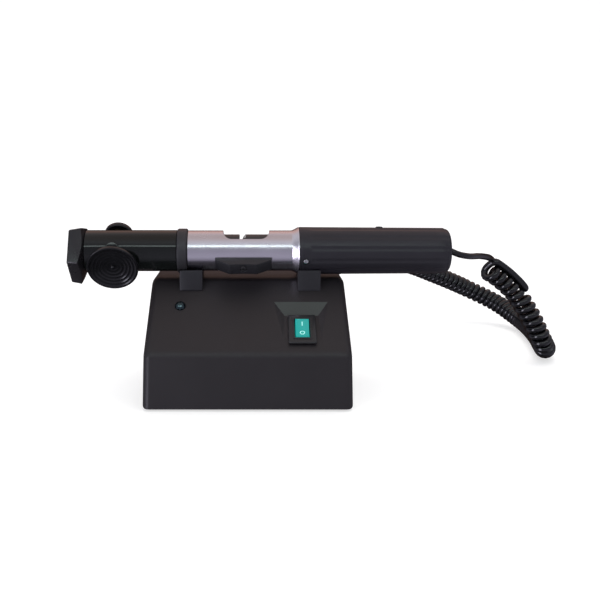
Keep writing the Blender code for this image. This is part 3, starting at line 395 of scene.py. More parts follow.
def eased(points, radius, steps=4, closed=False):
    """Corners of an outline rounded to the radius, as far as their sides allow."""
    out = []
    count = len(points)
    for i, here in enumerate(points):
        if not closed and i in (0, count - 1):
            out.append(here)
            continue
        here = Vector(here)
        before, after = Vector(points[i - 1]) - here, Vector(points[(i + 1) % count]) - here
        if before.length < 1e-6 or after.length < 1e-6:
            out.append(tuple(here))
            continue
        half = before.angle(after) / 2
        if half > math.radians(86):
            out.append(tuple(here))
            continue
        reach = min(radius / math.tan(half), before.length * 0.45, after.length * 0.45)
        start, end = here + before.normalized() * reach, here + after.normalized() * reach
        for k in range(steps + 1):
            t = k / steps
            out.append(tuple((start * (1 - t) + here * t) * (1 - t) + (here * (1 - t) + end * t) * t))
    return out


def lathe(name, profile, place, sides=96, ripple=None, sharp=30, turn=0.0):
    """(radius, height) points in mm turned about local Z. ripple(angle, height, radius) is added to it."""
    shape = bmesh.new()
    rings = []
    for radius, height in profile:
        if radius < 1e-6:
            rings.append([shape.verts.new((0, 0, height * MM))])
            continue
        ring = []
        for k in range(sides):
            angle = 2 * math.pi * k / sides + turn
            reach = (radius + (ripple(angle, height, radius) if ripple else 0)) * MM
            ring.append(shape.verts.new((reach * math.cos(angle), reach * math.sin(angle), height * MM)))
        rings.append(ring)
    pairs = list(zip(rings, rings[1:]))
    if len(rings[0]) > 1 and len(rings[-1]) > 1:
        pairs.append((rings[-1], rings[0]))
    for low, high in pairs:
        if len(low) == 1 and len(high) == 1:
            continue
        for k in range(sides):
            after = (k + 1) % sides
            if len(low) == 1:
                shape.faces.new((low[0], high[k], high[after]))
            elif len(high) == 1:
                shape.faces.new((low[k], high[0], low[after]))
            else:
                shape.faces.new((low[k], high[k], high[after], low[after]))
    return mesh_object(name, shape, place, sharp)


def slab(name, outline, low, high, place, sharp=30):
    """A flat outline in mm, carried from low to high along local Z."""
    shape = bmesh.new()
    bottom = [shape.verts.new((x * MM, y * MM, low * MM)) for x, y in outline]
    top = [shape.verts.new((x * MM, y * MM, high * MM)) for x, y in outline]
    shape.faces.new(bottom)
    shape.faces.new(top)
    for k in range(len(outline)):
        after = (k + 1) % len(outline)
        shape.faces.new((bottom[k], bottom[after], top[after], top[k]))
    return mesh_object(name, shape, place, sharp)


def box_outline(half_x, half_y, radius=0.0):
    corners = [(-half_x, -half_y), (half_x, -half_y), (half_x, half_y), (-half_x, half_y)]
    return eased(corners, radius, closed=True) if radius else corners


def tidy(obj, sharp=30):
    """Shading after a cut."""
    obj.data.shade_smooth()
    obj.data.set_sharp_from_angle(angle=math.radians(sharp))


def boolean(obj, others, operation="DIFFERENCE", sharp=30):
    """Cuts or joins with other objects, which are used up."""
    for other in others:
        modifier = obj.modifiers.new("cut", "BOOLEAN")
        modifier.operation = operation
        modifier.object = other
        modifier.solver = "EXACT"
    settle(obj, sharp)
    for other in others:
        mesh = other.data
        bpy.data.objects.remove(other)
        bpy.data.meshes.remove(mesh)
    return obj


def settle(obj, sharp=30):
    """Applies an object's modifiers."""
    evaluated = obj.evaluated_get(bpy.context.evaluated_depsgraph_get())
    mesh = bpy.data.meshes.new_from_object(evaluated)
    obj.modifiers.clear()
    old = obj.data
    obj.data = mesh
    bpy.data.meshes.remove(old)
    mesh.name = obj.name
    tidy(obj, sharp)


def bevelled(obj, width, segments=3, angle=35):
    modifier = obj.modifiers.new("edges", "BEVEL")
    modifier.width = width * MM
    modifier.segments = segments
    modifier.limit_method = "ANGLE"
    modifier.angle_limit = math.radians(angle)
    settle(obj, 50)
    return obj


def dress(obj, body, material, slot, *nodes):
    """Gives a piece its material, its body and the model's nodes that it stands for."""
    obj.data.materials.clear()
    obj.data.materials.append(material)
    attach(obj, body)
    if nodes:
        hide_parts(*nodes)
    return obj


def eased_node(node, body, material, slot, width=0.3, segments=3, angle=35):
    """A copy of a model node with its edges rounded off."""
    shape = bmesh.new()
    shape.from_mesh(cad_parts[node].data)
    bmesh.ops.remove_doubles(shape, verts=shape.verts, dist=0.000002)
    bmesh.ops.dissolve_limit(shape, angle_limit=math.radians(0.5), verts=shape.verts, edges=shape.edges)
    obj = mesh_object(node + "_shape", shape)
    bevelled(obj, width, segments, angle)
    return dress(obj, body, material, slot, node)


def paint(material, *nodes):
    """A better material on nodes whose shape stays."""
    for node in nodes:
        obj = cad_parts[node]
        obj.data.materials.clear()
        obj.data.materials.append(material)


# ---- cord ----
def smooth_path(knots, spacing):
    """Evenly spaced points on a smooth curve through the knots, in mm."""
    knots = [Vector(knot) for knot in knots]
    padded = [knots[0] * 2 - knots[1]] + knots + [knots[-1] * 2 - knots[-2]]
    fine = []
    for a, b, c, d in zip(padded, padded[1:], padded[2:], padded[3:]):
        for step in range(40):
            t = step / 40
            fine.append(0.5 * (2 * b + (c - a) * t + (2 * a - 5 * b + 4 * c - d) * t * t
                               + (3 * b - a - 3 * c + d) * t ** 3))
    fine.append(knots[-1])
    lengths = [0.0]
    for first, second in zip(fine, fine[1:]):
        lengths.append(lengths[-1] + (second - first).length)
    count = max(2, round(lengths[-1] / spacing))
    points = []
    index = 0
    for step in range(count + 1):
        reach = lengths[-1] * step / count
        while index < len(fine) - 2 and lengths[index + 1] < reach:
            index += 1
        share = (reach - lengths[index]) / (lengths[index + 1] - lengths[index])
        points.append(fine[index].lerp(fine[index + 1], min(1.0, share)))
    return points, lengths[-1]


def moving_frames(points, up):
    """Direction, up and side at each point, turned as little as possible from one to the next."""
    frames = []
    for i, point in enumerate(points):
        ahead = (points[min(i + 1, len(points) - 1)] - points[max(i - 1, 0)]).normalized()
        up = (up - ahead * up.dot(ahead)).normalized()
        frames.append((ahead, up, -ahead.cross(up)))
    return frames


def joined(start, start_way, end, end_way, spacing=1.6):
    """A smooth bend between two points with given directions."""
    gap = (end - start).length
    count = max(3, round(gap / spacing))
    out = []
    for step in range(1, count):
        t = step / count
        out.append(start * (2 * t ** 3 - 3 * t * t + 1) + start_way * gap * (t ** 3 - 2 * t * t + t)
                   + end * (3 * t * t - 2 * t ** 3) + end_way * gap * (t ** 3 - t * t))
    return out


def coil_pitch(share):
    """Spacing of the turns: stretched where the cord hangs from the handle, closer on the table."""
    if share < 0.22:
        return 6.2 - 2.0 * share / 0.22
    if share < 0.50:
        return 4.2
    return 4.2 + 0.5 * min(1.0, (share - 0.50) / 0.15)


def cord_path():
    """The lead runs back along the coil's first turns, doubles round and winds into the coil."""
    centre, total = smooth_path(COIL, 0.5)
    frames = moving_frames(centre, Vector((0.47, 0.21, 0.86)))
    step = total / (len(centre) - 1)
    phase = [0.0]
    for i in range(len(centre) - 1):
        phase.append(phase[-1] + 2 * math.pi * step / coil_pitch(i / len(centre)))
    whole = 2 * math.pi * round(phase[-1] / (2 * math.pi)) + math.radians(110)
    stretch = whole / phase[-1]
    per_turn = 16
    coil = []
    index = 0
    for k in range(int(whole / (2 * math.pi) * per_turn) + 1):
        angle = 2 * math.pi * k / per_turn
        while index < len(phase) - 2 and phase[index + 1] < angle / stretch:
            index += 1
        share = min(1.0, (angle / stretch - phase[index]) / (phase[index + 1] - phase[index]))
        middle = centre[index].lerp(centre[index + 1], share)
        _, up, side = frames[index]
        fade = min(1.0, max(0.0, (index * step - STRAND_REACH) / 6.0))
        radius = LOOP_RADIUS - (1 - fade * fade * (3 - 2 * fade)) * 1.0 * (1 + math.cos(angle))
        coil.append(middle + (up * math.cos(angle) + side * math.sin(angle)) * radius)

    def beside(i, sideways, ahead_by=0.0):
        ahead, up, side = frames[i]
        return centre[i] + up * STRAND_HEIGHT + side * sideways + ahead * ahead_by

    last = round(STRAND_REACH / step)
    out = [beside(i, WIRE_RADIUS) for i in range(10, last, 3)]
    bend = [beside(last, WIRE_RADIUS * math.cos(math.pi * k / 8), WIRE_RADIUS * math.sin(math.pi * k / 8))
            for k in range(9)]
    home = [beside(i, -WIRE_RADIUS) for i in range(last - 3, 6, -3)]
    begin = 5
    lead, _ = smooth_path(LEAD, 1.6)
    tail, _ = smooth_path(TAIL, 1.6)
    path = lead + joined(lead[-1], (lead[-1] - lead[-2]).normalized(), out[0], (out[1] - out[0]).normalized())
    path += out + bend + home
    path += joined(home[-1], (home[-1] - home[-2]).normalized(), coil[begin],
                   (coil[begin + 1] - coil[begin - 1]).normalized(), 1.2)
    path += coil[begin:]
    path += joined(coil[-1], (coil[-1] - coil[-2]).normalized(), tail[0], (tail[1] - tail[0]).normalized())
    return path + tail


def tube_mesh(name, points, radii, sides=12):
    """A round tube along the points, with a radius at each."""
    frames = moving_frames(points, Vector((0, 0, 1)))
    shape = bmesh.new()
    rings = []
    for point, radius, (_, up, side) in zip(points, radii, frames):
        ring = []
        for k in range(sides):
            angle = 2 * math.pi * k / sides
            out = up * math.cos(angle) + side * math.sin(angle)
            ring.append(shape.verts.new((point + out * radius) * MM))
        rings.append(ring)
    for low, high in zip(rings, rings[1:]):
        for k in range(sides):
            after = (k + 1) % sides
            shape.faces.new((low[k], high[k], high[after], low[after]))
    shape.faces.new(rings[0])
    shape.faces.new(rings[-1])
    return mesh_object(name, shape, sharp=60)


def make_cord():
    path = cord_path()
    thicken, thin = 70, 40          # points over which the lead grows into the coil, and back
    radii = []
    for i in range(len(path)):
        share = min(i / thicken, (len(path) - 1 - i) / thin, 1.0)
        radii.append(WIRE_RADIUS + (COIL_WIRE_RADIUS - WIRE_RADIUS) * share)
    cord = tube_mesh("curly_cord", path, radii)
    cord.data.materials.append(CORD_BLACK)
    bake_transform(cord)
    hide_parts("cord_lead", "cord_coil", "cord_tail")


make_camera()
make_stage()
make_world()
make_lights()
make_cord()


# ---- telescope ----
def make_telescope():
    back = -46.5
    outer = eased([(10.2, TUBE_START), (11.7, TUBE_START), (11.7, back), (9.7, back), (9.7, -28.3),
                   (8.2, -28.3), (8.2, -50.0), (10.2, -50.0)], 0.25, 3, True)
    tube = lathe("telescope_body", outer, along(), 128)
    holes = [lathe(f"bush_hole_{k}", [(0, 5), (3.4, 5), (3.4, 20), (0, 20)],
                   across(KNOB_X, KNOB_ANGLE + k), 32) for k in (0, 180)]
    pad = lathe("rack_cover", [(0, 10.7), (3.9, 10.7), (3.9, 12.1), (3.8, 12.45), (3.5, 12.7), (3.0, 12.8),
                               (0, 12.8)], across(KNOB_X - 0.6, 14.0), 48)
    boolean(tube, [pad], "UNION")
    dress(boolean(tube, holes), "instrument", TUBE_GLOSS, "tube_black", "telescope_tube")
    for side, angle in (("front", KNOB_ANGLE), ("rear", KNOB_ANGLE + 180)):
        profile = eased([(3.1, 9.7), (3.1, 12.0), (4.6, 12.0), (4.6, 13.1), (1.5, 13.1), (1.5, 9.7)],
                        0.15, 2, True)
        bush = lathe(f"{side}_bush_turned", profile, across(KNOB_X, angle), 48)
        dress(bush, "instrument", BRASS, "brass", f"{side}_bush")

    def knurl(angle, height, radius):
        if radius < 12.3:
            return 0.0
        around = angle * 88 / (2 * math.pi)
        up = height / 0.9
        first = abs((around + up) % 1 - 0.5) * 2
        second = abs((around - up) % 1 - 0.5) * 2
        return 0.13 * (min(first, second) - 1)

    start, end = -46.2, -40.6
    rows = [(12.6, start + 0.5 + (end - start - 1.0) * k / 20) for k in range(21)]
    ring = lathe("axis_ring_knurled", [(10.0, start), (12.1, start), (12.25, start + 0.15)] + rows
                 + [(12.25, end - 0.15), (12.1, end), (10.0, end)], along(), 352, knurl, 50)
    dress(ring, "ring", RING_KNURL, "ring_black", "axis_ring")


def make_neck():
    outer = [(10.0, -40.3), (11.3, -40.3), (11.5, -40.1), (11.5, 17.9), (11.58, 18.3)]
    outer += [(11.58 + 1.77 * (k / 8) ** 1.15, 18.3 + 3.5 * k / 8) for k in range(1, 9)]
    outer += [(13.45, 22.05), (13.40, 22.2), (11.2, 22.2), (11.2, 52.0), (10.0, 52.0)]
    neck = lathe("neck_turned", outer, along(), 160, sharp=40)
    radius, left, right, floor = 5.0, -20.5, 5.6, 6.3       # of the lens window
    outline = [(left, 20)]
    outline += [(left + radius - radius * math.cos(math.radians(6 * k)),
                 floor + radius - radius * math.sin(math.radians(6 * k))) for k in range(16)]
    outline += [(right - radius + radius * math.sin(math.radians(6 * k)),
                 floor + radius - radius * math.cos(math.radians(6 * k))) for k in range(16)]
    outline += [(right, 20)]
    tilt = (Matrix.Translation((0, AXIS_Y * MM, AXIS_Z * MM)) @ Matrix.Rotation(math.radians(-8), 4, "X")
            @ Matrix.Rotation(math.radians(90), 4, "X"))
    window = slab("window", outline, -20, 20, tilt)
    slot = slab("slot", [(-11.3, -1.8), (6.6, -1.8), (6.6, 1.8), (-11.3, 1.8)], 8.5, 14.0,
                across(0, SLIDE_ANGLE))
    holes = [lathe(f"neck_hole_{k}", [(0, 8), (1.2, 8), (1.2, 12.8), (0, 12.8)],
                   across(HANDLE_SCREW[0], HANDLE_SCREW[1] + k), 24) for k in (0, 180)]
    dress(boolean(neck, [window, slot] + holes, sharp=35), "instrument", ALUMINIUM, "aluminium", "neck_tube")
    profile = eased([(9.7, -28.0), (9.7, -22.5), (9.25, -22.5), (9.25, -11.2), (7.0, -11.2), (7.0, -28.0)],
                    0.3, 3, True)
    stop = lathe("lens_stop_turned", profile, along(), 128)
    dress(stop, "instrument", INNER_BLACK, "inner_black", "lens_stop")


# ---- handle ----
def handle_radius(x):
    share = (x - HANDLE_START) / (HANDLE_END - HANDLE_START)
    return HANDLE_RADIUS + (HANDLE_END_RADIUS - HANDLE_RADIUS) * share


def make_handle():
    flutes = 12
    start = 29.0

    def flute(angle, x, radius):
        """Broad shallow grooves, set so that a rib faces a little below the front's middle."""
        if radius < 11.6 or x < start - 1.2:
            return 0.0
        up = math.atan2(-math.cos(angle), -math.sin(angle))
        wave = (math.degrees(up) + 4.0) / (360 / flutes) % 1
        groove = max(0.0, math.cos(2 * math.pi * (wave - 0.5))) ** 1.4
        run_in = min(1.0, max(0.0, (x - start + 1.2) / 2.4))
        return -0.22 * groove * run_in * run_in * (3 - 2 * run_in)

    fillet = 3.0
    profile = [(11.6, HANDLE_START), (13.2, HANDLE_START), (13.38, 22.58), (HANDLE_RADIUS, 22.75)]
    stations = (26.0, 27.8, 28.2, 28.6, 29.0, 29.4, 29.8, 30.2, 34, 40, 50, 60, 65, 70, 80, 90, 98,
                HANDLE_END - fillet - 0.5)
    profile += [(handle_radius(x), x) for x in stations]
    profile += [(12.5 - fillet + fillet * math.cos(math.radians(a)),
                 HANDLE_END - fillet + fillet * math.sin(math.radians(a))) for a in range(0, 91, 9)]
    profile += [(3.4, HANDLE_END), (3.2, HANDLE_END - 0.2), (3.2, HANDLE_END - 4), (10.8, HANDLE_END - 4),
                (10.8, 62), (11.6, 60)]
    handle = lathe("handle_fluted", profile, along(), 240, flute, 40)
    cutters = [lathe(f"handle_hole_{k}", [(0, 11.5), (1.8, 11.5), (1.8, 16), (0, 16)],
                     across(HANDLE_SCREW[0], HANDLE_SCREW[1] + k), 32) for k in (0, 180)]
    cutters.append(lathe("lamp_hole", [(0, 10), (2.3, 10), (2.3, 16), (0, 16)], across(LAMP_SCREW_X, 90), 32))
    dress(boolean(handle, cutters, sharp=40), "instrument", HANDLE_SATIN, "handle_black", "handle_shell")
    grommet = lathe("cord_grommet_turned",
                    [(0, HANDLE_END - 0.3), (2.0, HANDLE_END - 0.3), (2.6, HANDLE_END - 0.45),
                     (2.9, HANDLE_END - 0.8), (2.9, HANDLE_END - 4.3), (4.2, HANDLE_END - 4.3),
                     (4.2, HANDLE_END - 6), (0, HANDLE_END - 6)], along(), 48)
    dress(grommet, "instrument", RUBBER, "rubber", "cord_grommet")


def socket_screw(name, head, top, low, shank_low, shank, place, body, material, slot, node, key=None):
    """A round-headed screw with a hexagon socket."""
    key = key or head * 0.5
    profile = eased([(0, top), (head, top), (head, low), (shank, low), (shank, shank_low), (0, shank_low)],
                    head * 0.22, 3)
    screw = lathe(name, profile, place, 40)
    socket = lathe(name + "_socket", [(0, top + 1), (key, top + 1), (key, top - 0.8), (0, top - 1.1)],
                   place, 6)
    dress(boolean(screw, [socket], sharp=35), body, material, slot, node)


def make_screws():
    for side, turn in (("front", 0), ("rear", 180)):
        socket_screw(f"handle_screw_{side}_head", 1.4, 13.6, 12.2, 10.3, 0.9,
                     across(HANDLE_SCREW[0], HANDLE_SCREW[1] + turn), "instrument", STEEL, "screw_steel",
                     f"handle_screw_{side}", 0.72)
    head = handle_radius(LAMP_SCREW_X)
    socket_screw("lamp_screw_head", 2.0, head + 0.5, head - 1.2, 8.8, 1.1, across(LAMP_SCREW_X, 90),
                 "instrument", SWITCH_BLACK, "handle_black", "lamp_screw", 0.8)
    middle = (SLIDE_START + SLIDE_END) / 2
    socket_screw("clamp_screw_head", 1.6, 17.0, 15.9, 11.5, 0.9, across(middle, SLIDE_ANGLE), "lens_clamp",
                 RING_KNURL, "ring_black", "clamp_screw", 0.85)
    inner = BASE_WIDTH / 2 - SHELL_WALL - 0.6
    for edge_x, side in ((-1, "left"), (1, "right")):
        for edge_y, end in ((-1, "front"), (1, "back")):
            x = BASE_X + edge_x * (inner - 9)
            y = edge_y * (HALF_DEPTH - SHELL_WALL - 0.6 - 9)
            profile = eased([(0, 0), (3.2, 0), (3.4, 0.35), (4.3, 0.0), (5.0, 0.4), (5.0, 1.3), (0, 1.3)],
                            0.15, 2)
            foot = lathe(f"foot_{end}_{side}_turned", profile, Matrix.Translation((x * MM, y * MM, 0)), 48)
            dress(foot, "base", RUBBER, "rubber", f"foot_{end}_{side}")
            place = (Matrix.Translation(((x - edge_x * 9.5) * MM, y * MM, 1.6 * MM))
                     @ Matrix.Rotation(math.radians(180), 4, "X"))
            profile = eased([(0, 1.3), (1.6, 1.3), (2.6, 0.7), (2.6, 0.3), (1.2, 0.3), (1.2, -7.9),
                             (0, -7.9)], 0.2, 3)
            screw = lathe(f"plate_screw_{end}_{side}_head", profile, place, 40)
            cross = [slab("cross", box_outline(a, b), 0.4, 3, place) for a, b in ((1.3, 0.25), (0.25, 1.3))]
            dress(boolean(screw, cross), "base", STEEL, "screw_steel", f"plate_screw_{end}_{side}")


# ---- eyepiece and knobs ----
def make_eyecup():
    widest = EYE_END + 6.9
    place = Matrix.Translation((0, 0, -1.7 * MM)) @ along()
    back = TUBE_START - 0.3
    cup = lathe("eyecup_moulded", [(0, EYE_END), (16.4, EYE_END), (17.7, widest), (17.7, back), (0, back)],
                place, 5, sharp=20, turn=math.radians(-7))
    bevelled(cup, 0.8, 5, 20)
    cone = lathe("turned_back", [(0, EYE_END - 1), (30, EYE_END - 1), (30, back - 7.4), (12.0, back + 0.1),
                                 (0, back + 0.1)], along(), 96)
    boolean(cup, [cone], "INTERSECT", 28)
    recess = lathe("recess", [(0, EYE_END - 1), (11.4, EYE_END - 1), (11.2, EYE_END - 0.2),
                              (10.6, EYE_END + 0.5), (8.9, EYE_END + 3.6), (8.5, EYE_END + 4.2),
                              (0, EYE_END + 4.2)], along(), 96)
    bore = lathe("bore", [(0, EYE_END + 5.2), (10.2, EYE_END + 5.2), (10.2, EYE_END + 20), (0, EYE_END + 20)],
                 along(), 96)
    hole = lathe("aperture", [(0, EYE_END + 2), (6.2, EYE_END + 2), (6.2, EYE_END + 8), (0, EYE_END + 8)],
                 along(), 64)
    dress(boolean(cup, [recess, bore, hole], sharp=28), "eyepiece", EYECUP_BLACK, "eyecup_black", "eyecup")


def stepped(inner, outer, low, rise, steps):
    """A dish of narrow rings, each a step above the one inside it."""
    points = []
    width = (outer - inner) / steps
    for k in range(steps):
        radius = inner + width * k
        height = low + rise * (k / steps) ** 1.6
        after = low + rise * ((k + 1) / steps) ** 1.6
        points += [(radius + 0.10 * width, height), (radius + 0.55 * width, height + 0.03),
                   (radius + 0.80 * width, height + (after - height) * 0.45 + 0.10),
                   (radius + 0.97 * width, after + 0.06)]
    return points


def make_knobs():
    dish = stepped(1.3, 13.1, 14.75, 1.95, 6)
    profile = [(0, 16.3), (0.5, 16.25), (0.9, 15.95), (1.1, 15.5), (1.2, 14.8)] + dish
    profile += [(13.3, 16.78), (13.9, 16.80), (14.2, 16.65), (14.3, 16.4), (14.3, 15.3), (14.15, 15.05),
                (13.2, 14.4), (6.0, 14.0), (4.5, 13.4), (1.5, 13.4), (1.5, 14.9), (0, 14.9)]
    knob = lathe("front_knob_turned", profile, across(KNOB_X, KNOB_ANGLE), 144, sharp=32)
    dress(knob, "focus_knob", KNOB_GLOSS, "knob_black", "front_knob")
    profile = [(0, 16.1), (0.6, 16.0), (1.0, 15.6)] + stepped(1.1, 7.5, 15.35, 0.85, 4)
    profile += [(7.6, 16.32), (8.0, 16.38), (8.25, 16.2), (8.3, 15.9), (8.3, 14.3), (8.1, 14.0), (7.8, 13.5),
                (1.5, 13.4), (1.5, 14.9), (0, 14.9)]
    knob = lathe("rear_knob_turned", profile, across(KNOB_X, KNOB_ANGLE + 180), 120, sharp=32)
    dress(knob, "rear_focus_knob", KNOB_GLOSS, "knob_black", "rear_knob")


# ---- base ----
def base_lines(inset):
    back = HALF_DEPTH
    sides = [((back, BASE_BOTTOM), 180, 0), ((-back, BASE_BOTTOM), 90 - FRONT_DRAFT, inset),
             ((-back, BASE_FRONT_TOP), SLOPE_ANGLE, inset), ((back, BASE_TOP), 0, inset),
             ((back, BASE_BOTTOM), -90, inset)]
    lines = []
    for point, direction, offset in sides:
        way = Vector((math.cos(math.radians(direction)), math.sin(math.radians(direction))))
        lines.append((Vector(point) + Vector((way.y, -way.x)) * offset, way))
    return lines


def base_outline(inset, bottom):
    """(Y, Z) outline of the base, with its rounded upper corners."""
    lines = base_lines(inset)
    lines[0] = (Vector((HALF_DEPTH, bottom)), lines[0][1])
    corners = []
    for i, (start, way) in enumerate(lines):
        other, across_way = lines[(i + 1) % len(lines)]
        gap = other - start
        reach = (gap.x * across_way.y - gap.y * across_way.x) / (way.x * across_way.y - way.y * across_way.x)
        corners.append(start + way * reach)
    small = 6.0 - inset / 2
    outline = []
    for i, (corner, radius) in enumerate(zip(corners, [0, small, TOP_RADIUS, small, 0])):
        before = (corners[i - 1] - corner).normalized()
        after = (corners[(i + 1) % len(corners)] - corner).normalized()
        if not radius:
            outline.append(tuple(corner))
            continue
        half = before.angle(after) / 2
        centre = corner + (before + after).normalized() * radius / math.sin(half)
        start = corner + before * radius / math.tan(half) - centre
        end = corner + after * radius / math.tan(half) - centre
        sweep = end.angle_signed(start)
        steps = 10
        outline += [tuple(centre + Matrix.Rotation(sweep * k / steps, 2) @ start) for k in range(steps + 1)]
    return outline


def base_form(name, inset, bottom, side_radius):
    """The base's form, with drafted sides and rounded side edges."""
    half_width = BASE_WIDTH / 2 - inset
    upright = Matrix(((0, 0, 1, 0), (1, 0, 0, 0), (0, 1, 0, 0), (0, 0, 0, 1)))
    obj = slab(name, base_outline(inset, bottom), -half_width, half_width, upright)
    shape = bmesh.new()
    shape.from_mesh(obj.data)
    rim = []
    for edge in shape.edges:
        low, high = edge.verts
        on_side = low.co.x * high.co.x > 0 and abs(low.co.x - high.co.x) < 1e-7
        flat = abs(low.co.z - bottom * MM) < 1e-7 and abs(high.co.z - bottom * MM) < 1e-7
        if on_side and not flat:
            rim.append(edge)
    bmesh.ops.bevel(shape, geom=rim, offset=side_radius * MM, segments=8, profile=0.5, affect="EDGES",
                    clamp_overlap=False)
    for corner in shape.verts:
        corner.co.x *= 1 - SIDE_DRAFT * (corner.co.z / MM - BASE_BOTTOM) / (BASE_WIDTH / 2)
        corner.co.x += BASE_X * MM
    shape.to_mesh(obj.data)
    shape.free()
    tidy(obj, 25)
    return obj


def recess_place():
    return (Matrix.Translation((SWITCH_X * MM, RECESS_Y * MM, slope_z(RECESS_Y) * MM))
            @ Matrix.Rotation(math.radians(RECESS_ANGLE), 4, "X"))


def switch_place():
    return recess_place() @ Matrix.Translation((0, SWITCH_RISE * MM, 0))


def recess_cutter():
    place = recess_place()
    length = 1.6 / math.sin(math.radians(SLOPE_ANGLE - RECESS_ANGLE))
    low, high = Vector((10.35, 0, 0)), Vector((9.2, length, 0))
    edge = place.inverted() @ (Vector((SWITCH_X + 14.95, -21.0, slope_z(-21.0))) * MM) / MM
    wall = (edge - high) * 1.6
    shape = bmesh.new()
    for side in (-1, 1):
        for point in (low, high, low + wall, high + wall):
            shape.verts.new((side * point.x * MM, point.y * MM, point.z * MM))
    bmesh.ops.convex_hull(shape, input=shape.verts)
    return mesh_object("recess", shape, place)


def crease_recess(housing):
    """Keeps the recess's shallow edges crisp, and gives its upper ramp the second, lighter material, a
    painted highlight.
    """
    shape = bmesh.new()
    shape.from_mesh(housing.data)
    for edge in shape.edges:
        middle = (edge.verts[0].co + edge.verts[1].co) / (2 * MM)
        near = abs(middle.x - SWITCH_X) < 16 and -41.5 < middle.y < -20.5 and middle.z > 34
        if near and len(edge.link_faces) == 2 and edge.calc_face_angle() > math.radians(2.5):
            edge.smooth = False
    for face in shape.faces:
        middle = face.calc_center_median() / MM
        near = abs(middle.x - SWITCH_X) < 14 and -30 < middle.y < -20.5 and middle.z > 40
        steeper = math.radians(36) < face.normal.angle(Vector((0, -1, 0))) < math.radians(48)
        if near and steeper and abs(face.normal.x) < 0.05 and face.normal.y < 0:
            # faces of the upper ramp take the lighter colour, a painted highlight
            face.material_index = 1
    shape.to_mesh(housing.data)
    shape.free()


def make_base():
    housing = base_form("base_moulding", 0, BASE_BOTTOM, SIDE_RADIUS)
    cutters = [base_form("hollow", SHELL_WALL, BASE_BOTTOM - 4, SIDE_RADIUS - SHELL_WALL), recess_cutter(),
               slab("opening", box_outline(6.5, 9.5), -20, 10, switch_place()),
               lathe("pilot_hole", [(0, -10), (3.1, -10), (3.1, 10), (0, 10)], on_slope(*PILOT), 32),
               lathe("gland_hole", [(0, -10), (4.2, -10), (4.2, 10), (0, 10)], on_back(*GLAND), 40),
               slab("inlet_hole", box_outline(10.3, 6.3), -10, 10, on_back(*INLET))]
    for x in (-38.3, 27.85):
        cutters.append(lathe("cradle_hole", [(0, 45), (1.8, 45), (1.8, 68.1), (0, 68.1)],
                             Matrix.Translation((x * MM, 2.5 * MM, 0)), 24))
    boolean(housing, cutters, sharp=22)
    half = BASE_WIDTH / 2
    corners = [(-half, BASE_BOTTOM), (half, BASE_BOTTOM), (half, 90), (-half, 90)]
    envelope = slab("envelope", eased(corners, 2.3, 6, True), -70, 70,
                    Matrix.Translation((BASE_X * MM, 0, 0)) @ Matrix.Rotation(math.radians(90), 4, "X"))
    boolean(housing, [envelope], "INTERSECT", 22)
    dress(housing, "base", BASE_PLASTIC, "base_plastic", "base_housing")
    # the second slot holds the lighter ramp colour, a painted highlight on the recess's upper ramp
    housing.data.materials.append(RAMP_PAINTED_LIGHT)
    crease_recess(housing)
    eased_node("base_plate", "base", BASE_PLASTIC, "base_plastic", 0.3, 2, 60)
    for side in ("left", "right"):
        eased_node(f"cradle_{side}", "base", CRADLE_PLASTIC, "cradle_plastic", 0.45, 3, 40)
    eased_node("mains_inlet", "base", SWITCH_BLACK, "switch_black", 0.25, 2, 50)
    gland = [(0, 15), (1.9, 15), (2.4, 14.6)]
    ribs = 6
    for k in range(ribs):
        top = 14.2 - k * 1.8
        radius = 2.5 + 0.16 * k
        gland += [(radius, top), (radius + 0.05, top - 1.0), (radius - 0.45, top - 1.15),
                  (radius - 0.45, top - 1.55)]
    gland += [(3.5, 3.2), (4.8, 3.0), (5.5, 2.4), (5.6, 0.3), (3.9, 0.3), (3.9, -3.1), (5.4, -3.1),
              (5.4, -5.5), (0, -5.5)]
    dress(lathe("cord_gland_ribbed", gland, on_back(*GLAND), 48), "base", RUBBER, "rubber", "cord_gland")


def make_switch():
    eased_node("switch_body", "base", SWITCH_BLACK, "switch_black", 0.25, 3, 50)
    eased_node("switch_rocker", "rocker", ROCKER_GREEN, "rocker_green", 0.25, 3, 50)
    middle = switch_place()
    frame_ring = slab("switch_frame", box_outline(5.1, 7.9, 0.8), 1.4, 2.0, middle)
    boolean(frame_ring, [slab("inside", box_outline(4.2, 7.0, 0.4), 0, 4, middle)])
    bevelled(frame_ring, 0.15, 2, 50)
    dress(frame_ring, "base", SWITCH_BLACK, "switch_black")
    seat = middle @ Matrix.Rotation(math.radians(11.0), 4, "X")
    lean = math.degrees(math.atan2(1.2, 5.1))
    lower, upper = [seat @ Matrix.Translation((0, half * 2.9 * MM, 2.28 * MM))
                    @ Matrix.Rotation(math.radians(half * lean), 4, "X") for half in (-1, 1)]
    ring = lathe("mark_off", [(0.95, -0.3), (1.4, -0.3), (1.4, 0.06), (0.95, 0.06)], lower, 48)
    dress(ring, "rocker", MARK, "rocker_green")
    bar = slab("mark_on", box_outline(0.25, 1.15), -0.3, 0.06, upper)
    dress(bar, "rocker", MARK, "rocker_green")


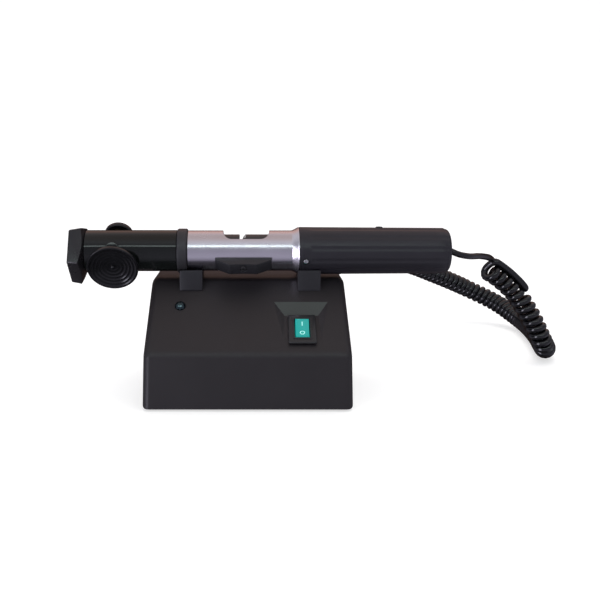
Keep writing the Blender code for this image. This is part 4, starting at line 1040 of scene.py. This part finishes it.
def make_pilot():
    """A faceted jewel on a short shank."""
    sides = 10
    shape = bmesh.new()
    rows = []
    for radius, height, turn in ((0.0, 2.3, 0), (1.1, 2.15, 0), (2.1, 1.65, 0.5), (2.8, 0.9, 0),
                                 (3.05, 0.3, 0.5)):
        count = 1 if radius == 0 else sides
        rows.append([shape.verts.new((radius * MM * math.cos(2 * math.pi * (k + turn) / sides),
                                      radius * MM * math.sin(2 * math.pi * (k + turn) / sides), height * MM))
                     for k in range(count)])
    rows.append([shape.verts.new((vert.co.x * 0.9, vert.co.y * 0.9, -4.0 * MM)) for vert in rows[-1]])
    bmesh.ops.convex_hull(shape, input=[vert for row in rows for vert in row])
    jewel = mesh_object("indicator_jewel", shape, on_slope(*PILOT), 5)
    dress(jewel, "base", JEWEL, "jewel", "indicator_lens")


def make_clamp():
    eased_node("thumb_slide", "lens_clamp", CRADLE_PLASTIC, "slide_black", 0.35, 3, 12)
    profile = eased([(5.0, -10.1), (5.6, -10.1), (9.2, -8.35), (7.2, -8.35), (7.2, -7.5), (5.0, -7.5)],
                    0.15, 2, True)
    nose = lathe("sleeve_nose_turned", profile, along(), 128)
    dress(nose, "lens_clamp", ALUMINIUM, "aluminium", "sleeve_nose")
    profile = eased([(9.25, -8.05), (9.25, 22.0), (9.7, 22.0), (9.7, 26.0), (7.5, 26.0), (7.5, -8.05)],
                    0.2, 3, True)
    sleeve = lathe("clamp_sleeve_turned", profile, along(), 128)
    key_end = SLIDE_END - CLAMP_TRAVEL - 0.6
    notch = slab("notch", [(key_end - 5.3, -1.7), (key_end + 0.2, -1.7), (key_end + 0.2, 1.7),
                           (key_end - 5.3, 1.7)], 6.5, 11.0, across(0, SLIDE_ANGLE))
    dress(boolean(sleeve, [notch]), "lens_clamp", INNER_BLACK, "inner_black", "clamp_sleeve")
    start, end, turns, per_turn = 26.7, 43.3, 5, 24
    coil_radius, wire = 8.8, 0.4
    points = []
    for step in range(turns * per_turn + 1):
        angle = 2 * math.pi * step / per_turn
        points.append(Vector((start + (end - start) * step / (turns * per_turn),
                              AXIS_Y + coil_radius * math.sin(angle),
                              AXIS_Z + coil_radius * math.cos(angle))))
    spring = tube_mesh("clamp_spring_coil", points, [wire] * len(points), 10)
    dress(spring, "instrument", SPRING, "screw_steel", "clamp_spring")
    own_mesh(spring)


make_telescope()
make_neck()
make_handle()
make_screws()
make_eyecup()
make_knobs()
make_base()
make_switch()
make_pilot()
make_clamp()
paint(STEEL, "cradle_screw_left", "cradle_screw_right", "clamp_key")
paint(LAMINATION, "transformer_core")
paint(TAPE, "transformer_winding")
paint(SWITCH_BLACK, "indicator_holder")
paint(LAMP_GLASS, "indicator_lamp", "lamp_bulb")
paint(GLASS, "objective_lens", "collimator_lens", "target_disc", "eye_lens", "reticle", "focus_lens")
paint(INNER_BLACK, "collimator_cell", "lamp_holder", "eyepiece_barrel")
paint(BRASS, "front_pinion", "rear_pinion", "eye_lens_ring")
paint(ALUMINIUM, "focus_carriage")
